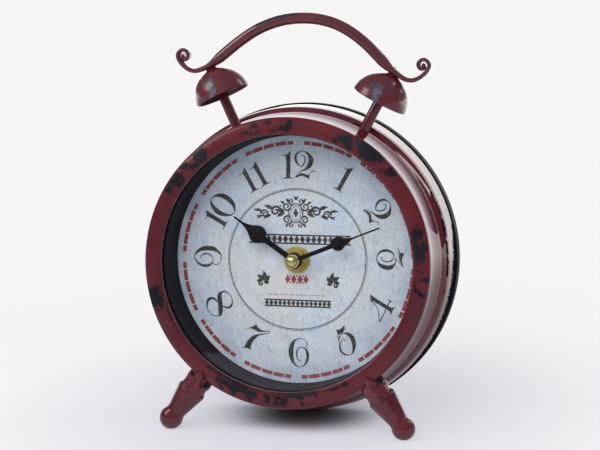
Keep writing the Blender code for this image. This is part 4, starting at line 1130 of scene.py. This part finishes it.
def leaf(base, length, angle, half):
    """Single pointed leaf as a stroke that swells and dies away."""
    turn = math.radians(angle)
    along = Vector((math.cos(turn), math.sin(turn)))
    bend = Vector((-along.y, along.x)) * length * 0.12
    points = []
    for share, width in ((0.0, 0.15), (0.3, 0.9), (0.55, 1.0), (0.8, 0.5), (1.0, 0.05)):
        spot = Vector(base) + along * length * share + bend * math.sin(math.pi * share)
        points.append((spot.x, spot.y, half * width * 1.2))
    return points


def mirrored(points, side):
    return [(x * side, *rest) for x, *rest in points]


def centre_ornament():
    """Traditional scroll ornament above the centre, with plain divider bands and marks below."""
    marks = Print()
    high = Matrix.Translation((-0.9, 0, 25.9))
    marks.oval(4.0, 5.2, 0.32, high)
    marks.oval(2.8, 3.9, 0.14, high)
    marks.plate([(0, 2.6), (1.5, 0), (0, -2.6), (-1.5, 0)], high)
    for side in (-1, 1):
        for points in (
                spiral((5.3, 3.6), 2.4, 200, 1.25, 0.42), spiral((5.0, -3.8), 2.3, 150, -1.25, 0.42),
                spiral((2.6, 6.4), 1.7, 250, 1.2, 0.34), spiral((2.3, -6.6), 1.6, 100, -1.2, 0.34),
                spiral((11.6, 0.9), 2.9, 180, -1.4, 0.52), spiral((17.8, -0.8), 2.3, 0, 1.4, 0.42),
                leaf((6.4, 0.3), 5.0, 12, 0.95), leaf((6.4, -0.5), 4.8, -24, 0.8),
                leaf((13.2, 1.6), 5.6, 22, 0.85), leaf((14.2, -1.4), 4.6, -28, 0.8),
                leaf((19.0, 0.4), 5.6, 8, 0.62), leaf((18.6, -1.6), 4.2, -30, 0.5),
                leaf((4.2, 5.4), 3.2, 58, 0.6), leaf((6.6, 4.8), 3.0, 30, 0.55),
                leaf((4.0, -5.6), 3.0, -62, 0.55), leaf((0.2, 7.2), 2.6, 62, 0.5)):
            marks.stroke(mirrored(points, side), high, steps=3)
        marks.dot((side * 22.0, -1.9), 0.5, high)
        marks.dot((side * 8.9, 3.9), 0.5, high)
    band(marks, (1.4, 11.3), 29.0, 4.6, 3.1)
    band(marks, (0.7, -24.5), 19.0, 3.4, 2.4)
    for side in (-1, 1):
        sprig(marks, Matrix.Translation((0.75 + side * 20.05, 0, -11.0)) @ Matrix.Scale(1.3, 4), side)
    marks.done("centre_ornament", INK)


def band(marks, centre, reach, height, pitch):
    """Row of upright lozenges between two rules."""
    middle, level = centre
    count = int(2 * reach / pitch)
    half = height / 2
    for up in (-half, half):
        rule = [(middle + way * reach, level + up, 0.42) for way in (-1, 1)]
        marks.stroke(rule, smooth=False)
    for i in range(count):
        x = middle - reach + 2 * reach * (i + 0.5) / count
        wide = pitch * 0.5
        marks.plate([(x, level + half), (x + wide, level), (x, level - half), (x - wide, level)])


def sprig(marks, place, side):
    """Small sprig of five leaves with a curled foot."""
    for points in (leaf((0, -1.2), 4.6, 90, 0.85), leaf((0.2, -0.8), 3.4, 40, 0.7),
                   leaf((-0.2, -0.8), 3.4, 140, 0.8), spiral((0.9, -2.2), 1.2, 120, -1.1, 0.42),
                   leaf((0.3, -1.2), 2.6, -8, 0.65), leaf((-0.3, -1.2), 2.6, 188, 0.65)):
        marks.stroke(mirrored(points, side), place, steps=3)


def red_marks():
    """Red rosette of lozenges and a fine dotted line under the centre."""
    marks = Print()
    row = -11.1
    for x, half in ((-5.2, 2.6), (-1.75, 2.7), (1.75, 2.7), (5.2, 2.6)):
        marks.plate([(x, row + half), (x + 1.6, row), (x, row - half), (x - 1.6, row)])
    for x in (-3.5, 0.0, 3.5):
        for up in (-1.8, 1.8):
            marks.dot((x, row + up), 0.55)
    for i in range(23):
        marks.dot((-16.0 + 32.0 * i / 22, -19.8), 0.42 if i % 2 else 0.28)
    marks.done("red_marks", RED_INK)


# Hands and centre

def hand_outline(length, bulb_at, bulb_r, stem, tip, boss):
    """Pear hand pointing up: round boss, straight stem, round bulb, then an ogee to a fine tip."""
    base = math.degrees(math.acos(stem / 2 / boss))
    low = math.degrees(math.asin(stem / 2 / bulb_r))
    right = arc((0, bulb_at), bulb_r, low - 90, 28, 20)
    shoulder = right[-1]
    neck = (tip / 2, bulb_at + bulb_r * 2.55)
    for step in range(1, 10):
        share = step / 10
        eased_share = 1 - (1 - share) ** 1.9
        right.append((shoulder[0] + (neck[0] - shoulder[0]) * eased_share,
                      shoulder[1] + (neck[1] - shoulder[1]) * share))
    right += [neck, (tip / 2, length - 0.4), (tip / 4, length)]
    left = [(-x, z) for x, z in reversed(right)]
    return right + left + arc((0, 0), boss, 180 - base, 360 + base, 40)


def hand(name, node_name, body, outline, depth, bore, angle):
    """Stamped hand with softly broken edges."""
    bm = bmesh.new()
    thicken(bm, [bm.faces.new([bm.verts.new((x, depth, z)) for x, z in outline])], HAND_THICK)
    bmesh.ops.recalc_face_normals(bm, faces=bm.faces)
    rims = [edge for edge in bm.edges if len(edge.link_faces) == 2 and edge.calc_face_angle() > 1.2
            and abs(edge.verts[0].co.y - edge.verts[1].co.y) < 1e-4]
    bmesh.ops.bevel(bm, geom=rims, offset=0.09, offset_type="OFFSET", segments=2, profile=0.5,
                    affect="EDGES", material=-1)
    made = finish(name, bm, HAND_BLACK, "black_paint", [node_name], body,
                  Matrix.Rotation(math.radians(angle), 4, "Y"))
    cut(made, rod((0, depth - 2, 0), ALONG, 5.0, bore, 48))
    smooth_piece(made, 30.0)


def centre_pieces():
    turned_piece("brass_washer", [
        (7.5, 27.6, 0.15), (7.5, 28.2, 0.15), (4.1, 28.2, 0.1), (4.1, 27.6, 0.1)],
        96, WASHER_BRASS, "brass", "dial_washer")
    cap = [(0, 14.4), (1.35, 14.4), (1.35, 17.6), (3.75, 17.6), (3.95, 17.4)]
    cap += [(3.95 * math.cos(math.radians(5 * i)), 16.4 - 3.4 * math.sin(math.radians(5 * i)))
            for i in range(18)] + [(0, 13.0)]
    finish("domed_cap", turned(cap, 96), CAP_BRASS, "brass", ["cap_nut"], "minute_group")


# Stage

def softbox(name, azimuth, elevation, distance, width, height, watts):
    """Area lamp aimed at the clock; azimuth 0 is the front, positive to the right."""
    a, e = math.radians(azimuth), math.radians(elevation)
    way = Vector((math.sin(a) * math.cos(e), -math.cos(a) * math.cos(e), math.sin(e)))
    lamp = bpy.data.lights.new(name, "AREA")
    lamp.shape = "RECTANGLE"
    lamp.size, lamp.size_y = width, height
    lamp.energy = watts
    made = linked(name, lamp)
    made.location = Vector((0, 0, 0.11)) + distance * way
    made.rotation_mode = "QUATERNION"
    made.rotation_quaternion = (-way).to_track_quat("-Z", "Y")
    return made


def world():
    """Pale room with its light behind and above: the camera sees it plain and even."""
    made = bpy.data.worlds.new("pale_room")
    made.use_nodes = True
    bpy.context.scene.world = made
    tree = made.node_tree
    seen, gloss = ray_kinds(tree)
    sky = node(tree, "ShaderNodeTexCoord").outputs["Generated"]
    way = node(tree, "ShaderNodeSeparateXYZ", {0: sky}).outputs
    lifted = sums(tree, "MULTIPLY_ADD", way["Y"], 0.7, way["Z"])
    ambient = eased(tree, lifted, -0.9, 0.9, AMBIENT_FRONT, AMBIENT_REAR)
    behind = eased(tree, way["Y"], *ROOM_BEHIND)
    room = between(tree, behind, eased(tree, way["Z"], -0.2, 0.9, ROOM_FRONT, ROOM_TOP), ROOM_REAR)
    tint = mixed(tree, gloss, ROOM_TINT, mixed(tree, behind, GLOSS_TINT, PLAIN))
    plug(tree, tree.nodes["Background"], {
        "Strength": between(tree, seen, between(tree, gloss, ambient, room), BACKDROP),
        "Color": mixed(tree, seen, tint, PLAIN)})


def floor():
    """Pale floor that keeps the clock's shadow, painted dark at the rear rim's foot as a painted contact
    shadow and bluer near the clock as painted shade; its glow, dimmer near the clock as painted shade,
    melts it into the backdrop further away.
    """
    bm = bmesh.new()
    bmesh.ops.create_grid(bm, x_segments=1, y_segments=1, size=6.0)
    made = object_from("floor", bm)
    look, tree, shader, place = new_look("pale_floor")
    camera_ray, gloss = ray_kinds(tree)
    contact = CASE @ radial(180, RIM_R, RIM_END) + Vector((0, -0.008, 0))
    away = measured_from(tree, place, contact)[1]
    depth = node(tree, "ShaderNodeSeparateXYZ", {0: place}).outputs["Y"]
    # Painted shade: bluer colour near the clock, and a dark painted contact shadow at the rear rim's foot.
    shaded_colour = mixed(tree, eased(tree, away, 0.06, FLOOR_PLAIN_AT), FLOOR_SHADE_BLUE, FLOOR_COLOUR)
    plug(tree, shader, {
        "Base Color": mixed(tree, eased(tree, away, *FLOOR_CONTACT_SHADOW_REACH), FLOOR_CONTACT_SHADOW, shaded_colour),
        "Roughness": 0.6, "Specular IOR Level": 0.2})
    # The glow is dimmer and bluer near the clock as painted shade; mirrored rays see it brighter behind the
    # clock.
    level = between(tree, gloss, eased(tree, away, 0.055, FLOOR_PLAIN_AT, FLOOR_SHADE_GLOW_LEVEL, BACKDROP),
                    eased(tree, depth, 0.05, 0.6, 0.5, FLOOR_GLOSS))
    tint = mixed(tree, gloss, mixed(tree, eased(tree, away, 0.04, FLOOR_PLAIN_AT), FLOOR_GLOW_SHADE_BLUE, PLAIN),
                 mixed(tree, eased(tree, depth, -0.05, 0.15), GLOSS_TINT, PLAIN))
    plain = node(tree, "ShaderNodeEmission", {"Color": tint, "Strength": level})
    seen = sums(tree, "MAXIMUM", gloss, camera_ray)
    melted = sums(tree, "ADD", eased(tree, away, *FLOOR_NEAR, 0.0, 0.7),
                  eased(tree, away, *FLOOR_FAR, 0.0, 0.3))
    show_mix(tree, sums(tree, "MULTIPLY", seen, melted), shader, plain)
    made.data.materials.append(look)


def camera():
    turn, rise, roll = (math.radians(v) for v in (VIEW_TURN, VIEW_RISE, VIEW_ROLL))
    back = Vector((math.sin(turn) * math.cos(rise), -math.cos(turn) * math.cos(rise), math.sin(rise)))
    right = Vector((0, 0, 1)).cross(back).normalized()
    up = back.cross(right)
    right, up = (math.cos(roll) * right + math.sin(roll) * up,
                 math.cos(roll) * up - math.sin(roll) * right)
    seat = Matrix((right, up, back)).transposed().to_4x4()
    seat.translation = (Vector(VIEW_TARGET) + back * VIEW_DISTANCE) * MM
    lens = bpy.data.cameras.new("photo_camera")
    lens.sensor_width = SENSOR_WIDTH
    lens.lens = SENSOR_WIDTH * VIEW_FOCUS
    lens.clip_start, lens.clip_end = 0.05, 50.0
    made = linked("photo_camera", lens)
    made.matrix_world = STAND @ seat
    bpy.context.scene.camera = made


# Worn places of the other painted pieces. The drum's rows at depth 47 blacken a broad band of the drum in
# front of the rim, from 72° to 142°, and leave its coat off there.
DRUM_WEAR_AND_BLACK_BAND = [
    (tuple(radial(angle, radius, depth)), tuple(radial(angle + length, radius, depth)), half)
    for angle, length, radius, depth, half in (
        (62, 2, 84.2, 29.4, 0.8), (67, 4, 84.3, 30.0, 1.3), (74, 5, 84.3, 30.0, 1.6),
        (82, 4, 84.2, 29.6, 1.4), (88, 6, 84.2, 29.6, 1.5), (98, 3, 84.0, 28.8, 0.9),
        (72, 5, 86.3, 47.6, 1.4), (78, 5, 86.2, 47.4, 3.4), (84, 6, 86.0, 47.0, 6.5),
        (91, 8, 86.0, 47.0, 8.6), (100, 8, 86.0, 47.0, 8.8), (109, 8, 86.0, 47.0, 8.8),
        (118, 8, 86.0, 47.0, 8.4), (127, 8, 86.0, 47.0, 7.6), (136, 6, 86.1, 47.0, 5.5),
        (250, 6, 84.3, 30.0, 1.6), (290, 8, 84.3, 30.0, 1.4), (200, 7, 84.3, 30.0, 1.4))]
HANDLE_WEAR = [
    ((-23.0, 22.4, 130.0), (-15.0, 22.3, 133.0), 1.0), ((-13.0, 22.2, 134.2), (-6.5, 22.2, 135.4), 1.4),
    ((-4.5, 22.3, 135.9), (1.0, 22.3, 136.0), 0.9), ((26.5, 22.5, 127.5), (28.5, 22.5, 126.5), 0.5)]
BELL_WEAR = {
    "left": [
        ((-46.5, 12.8, 100.2), (-47.0, 11.4, 97.5), 1.1), ((-50.0, 12.4, 96.7), (-47.0, 11.2, 97.0), 0.9),
        ((-46.5, 11.0, 97.0), (-44.6, 9.5, 93.9), 2.0), ((-44.6, 9.4, 93.5), (-45.0, 9.2, 90.0), 1.5),
        ((-43.4, 9.6, 95.0), (-42.4, 9.2, 92.4), 0.5)],
    "right": [
        ((44.2, 12.3, 98.3), (49.0, 11.4, 97.2), 1.3), ((50.0, 11.5, 96.8), (51.8, 12.0, 96.0), 0.8),
        ((47.5, 10.6, 96.0), (49.4, 10.2, 93.9), 1.3), ((47.2, 10.2, 94.6), (46.6, 9.2, 90.0), 1.9)]}
# Soft beads of the feet: across, depth, outwards, radius
FOOT_BEADS = {
    "left": [(0.6, -6.8, 78.3, 2.0), (2.5, -6.45, 88.4, 2.4)],
    "right": [(-0.7, -6.8, 77.9, 2.0), (0.2, -6.5, 88.0, 2.4)]}
# Notches in the feet's crowns, painted near-black inside as painted shade: across, outwards, radius
FOOT_NOTCHES = {
    "left": [(4.6, 80.7, 2.3), (-5.5, 81.1, 3.6)],
    "right": [(-5.8, 80.8, 3.6), (5.9, 79.4, 2.4)]}

# Shared effects and finishes
CHIPS_AND_SHADE = make_chipping()
COAT = make_coat()
AGED_PAPER = make_aged_paper()
RED = red_paint("bezel_red", flecks=0.5, gloss=0.36, coat=0.35, coat_rough=0.14, peel=0.35)
DRUM_RED = red_paint("drum_red", flecks=0.0, gloss=0.2, coat=1.0, coat_rough=0.03, peel=0.03, shine=0.0,
                     under=(UNDER_BLACK_AND_SHADE, UNDER_BLACK_AND_SHADE))
# The bells' worn patches mix a dark blue undercoat with a paler grey that is painted highlight.
BELL_RED = red_paint("bell_red", flecks=0.1, gloss=0.34, coat=0.8, coat_rough=0.1, peel=0.08, shine=0.6,
                     under=(UNDER_BLUE, UNDER_GREY_HIGHLIGHT), worn_coat=0.8)
HANDLE_RED = red_paint("handle_red", flecks=0.2, gloss=0.32, coat=0.8, coat_rough=0.16, peel=0.3, shine=0.8)
POST_RED = red_paint("post_red", flecks=0.1, gloss=0.2, coat=0.9, coat_rough=0.05, peel=0.1, shine=0.4)
# The feet's undercoat shows only inside their notches, as near-black painted shade.
FOOT_RED = red_paint("foot_red", flecks=0.0, gloss=0.34, coat=0.9, coat_rough=0.08, peel=0.1,
                     under=(UNDER_BLACK_AND_SHADE, UNDER_BLACK_AND_SHADE))
PAN_BLACK = black_paint("pan_black", 0.45, (0.0015, 0.002, 0.0035, 1), 0.04)
REAR_BLACK = black_paint("rear_black", 0.6, (0.005, 0.0055, 0.007, 1), 0.06)
COVER_BLACK = black_paint("cover_black", 0.4, (0.011, 0.0115, 0.013, 1), 0.5)
HAND_BLACK = black_paint("hand_black", 0.5, (0.005, 0.005, 0.006, 1), 0.1)
CAP_BRASS = metal("cap_brass", (0.74, 0.66, 0.26, 1), 0.14, (0.62, 0.52, 0.18, 1), 0.8)
WASHER_BRASS = metal("washer_brass", (0.62, 0.50, 0.12, 1), 0.4, (0.50, 0.40, 0.10, 1), 0.6)
STEEL = metal("zinc_steel", (0.58, 0.59, 0.60, 1), 0.25, (0.45, 0.46, 0.45, 1))
PAPER = dial_paper()
INK = printed_ink("numeral_ink", (0.018, 0.015, 0.014, 1), (0.045, 0.039, 0.036, 1), 0.35)
RED_INK = printed_ink("red_ink", (0.25, 0.030, 0.032, 1), (0.34, 0.055, 0.05, 1), 0.25)
GLASS = clear_glass()
BLACK_PLASTIC = moulded("black_plastic", (0.022, 0.022, 0.024, 1))
RUBBER = moulded("black_rubber", (0.02, 0.02, 0.02, 1), 0.7)
WHITE_PLASTIC = moulded("white_plastic", (0.72, 0.72, 0.68, 1), 0.4, 1.08)
JACKET = moulded("battery_jacket", (0.04, 0.05, 0.09, 1), 0.3)
COPPER = metal("copper_wire", (0.60, 0.26, 0.10, 1), 0.3, (0.42, 0.16, 0.06, 1))
BOARD = moulded("board_green", (0.02, 0.14, 0.05, 1), 0.4)

# Looks of the pieces that keep the solids' shapes
KEPT_NODES = (
    (JACKET, ("battery",)), (BOARD, ("circuit_board",)), (COPPER, ("coil",)), (RUBBER, ("rubber_washer",)),
    (WASHER_BRASS, ("dial_nut", "threaded_bush")),
    (BLACK_PLASTIC, ("movement_front_shell", "movement_rear_shell", "setting_knob")),
    (STEEL, ("negative_contact", "positive_contact", "rotor", "stator", "left_foot_screw",
             "right_foot_screw", "left_post_nut", "right_post_nut")),
    (WHITE_PLASTIC, ("minute_arbor", "hour_wheel", "minute_wheel", "step_wheel", "seconds_wheel",
                     "third_wheel", "centre_wheel")))
for look, names in KEPT_NODES:
    for kept in names:
        frame["nodes"][kept].material_slots[0].material = look

bezel()
pane()
pan()
drum()
rear_dish()
for number, screw_angle in enumerate(COVER_SCREW_ANGLES, 1):
    cover_screw(number, screw_angle)
for label, side in SIDES:
    for make in (foot, post, bell, collar, handle_screw):
        make(label, side)
handle()
dial_card()
hour_numerals()
minute_track()
inner_circles()
centre_ornament()
red_marks()
hand("pear_minute_hand", "minute_hand", "minute_group", hand_outline(52.5, 27.4, 3.9, 2.4, 0.9, 4.3),
     MINUTE_HAND_Y, 1.35, MINUTE_ANGLE)
hand("pear_hour_hand", "hour_hand", "hour_group", hand_outline(41.8, 25.0, 4.95, 3.1, 1.0, 4.6),
     HOUR_HAND_Y, 2.7, HOUR_ANGLE)
centre_pieces()

world()
floor()
softbox("key_box", -10, 43, 1.1, 0.7, 0.7, 5.5).visible_glossy = False
softbox("left_box", -62, 38, 1.1, 0.5, 0.5, 2.5)
softbox("right_box", 124, 34, 1.2, 0.14, 0.6, 1.3)
camera()
bpy.context.scene.view_settings.view_transform = "Standard"
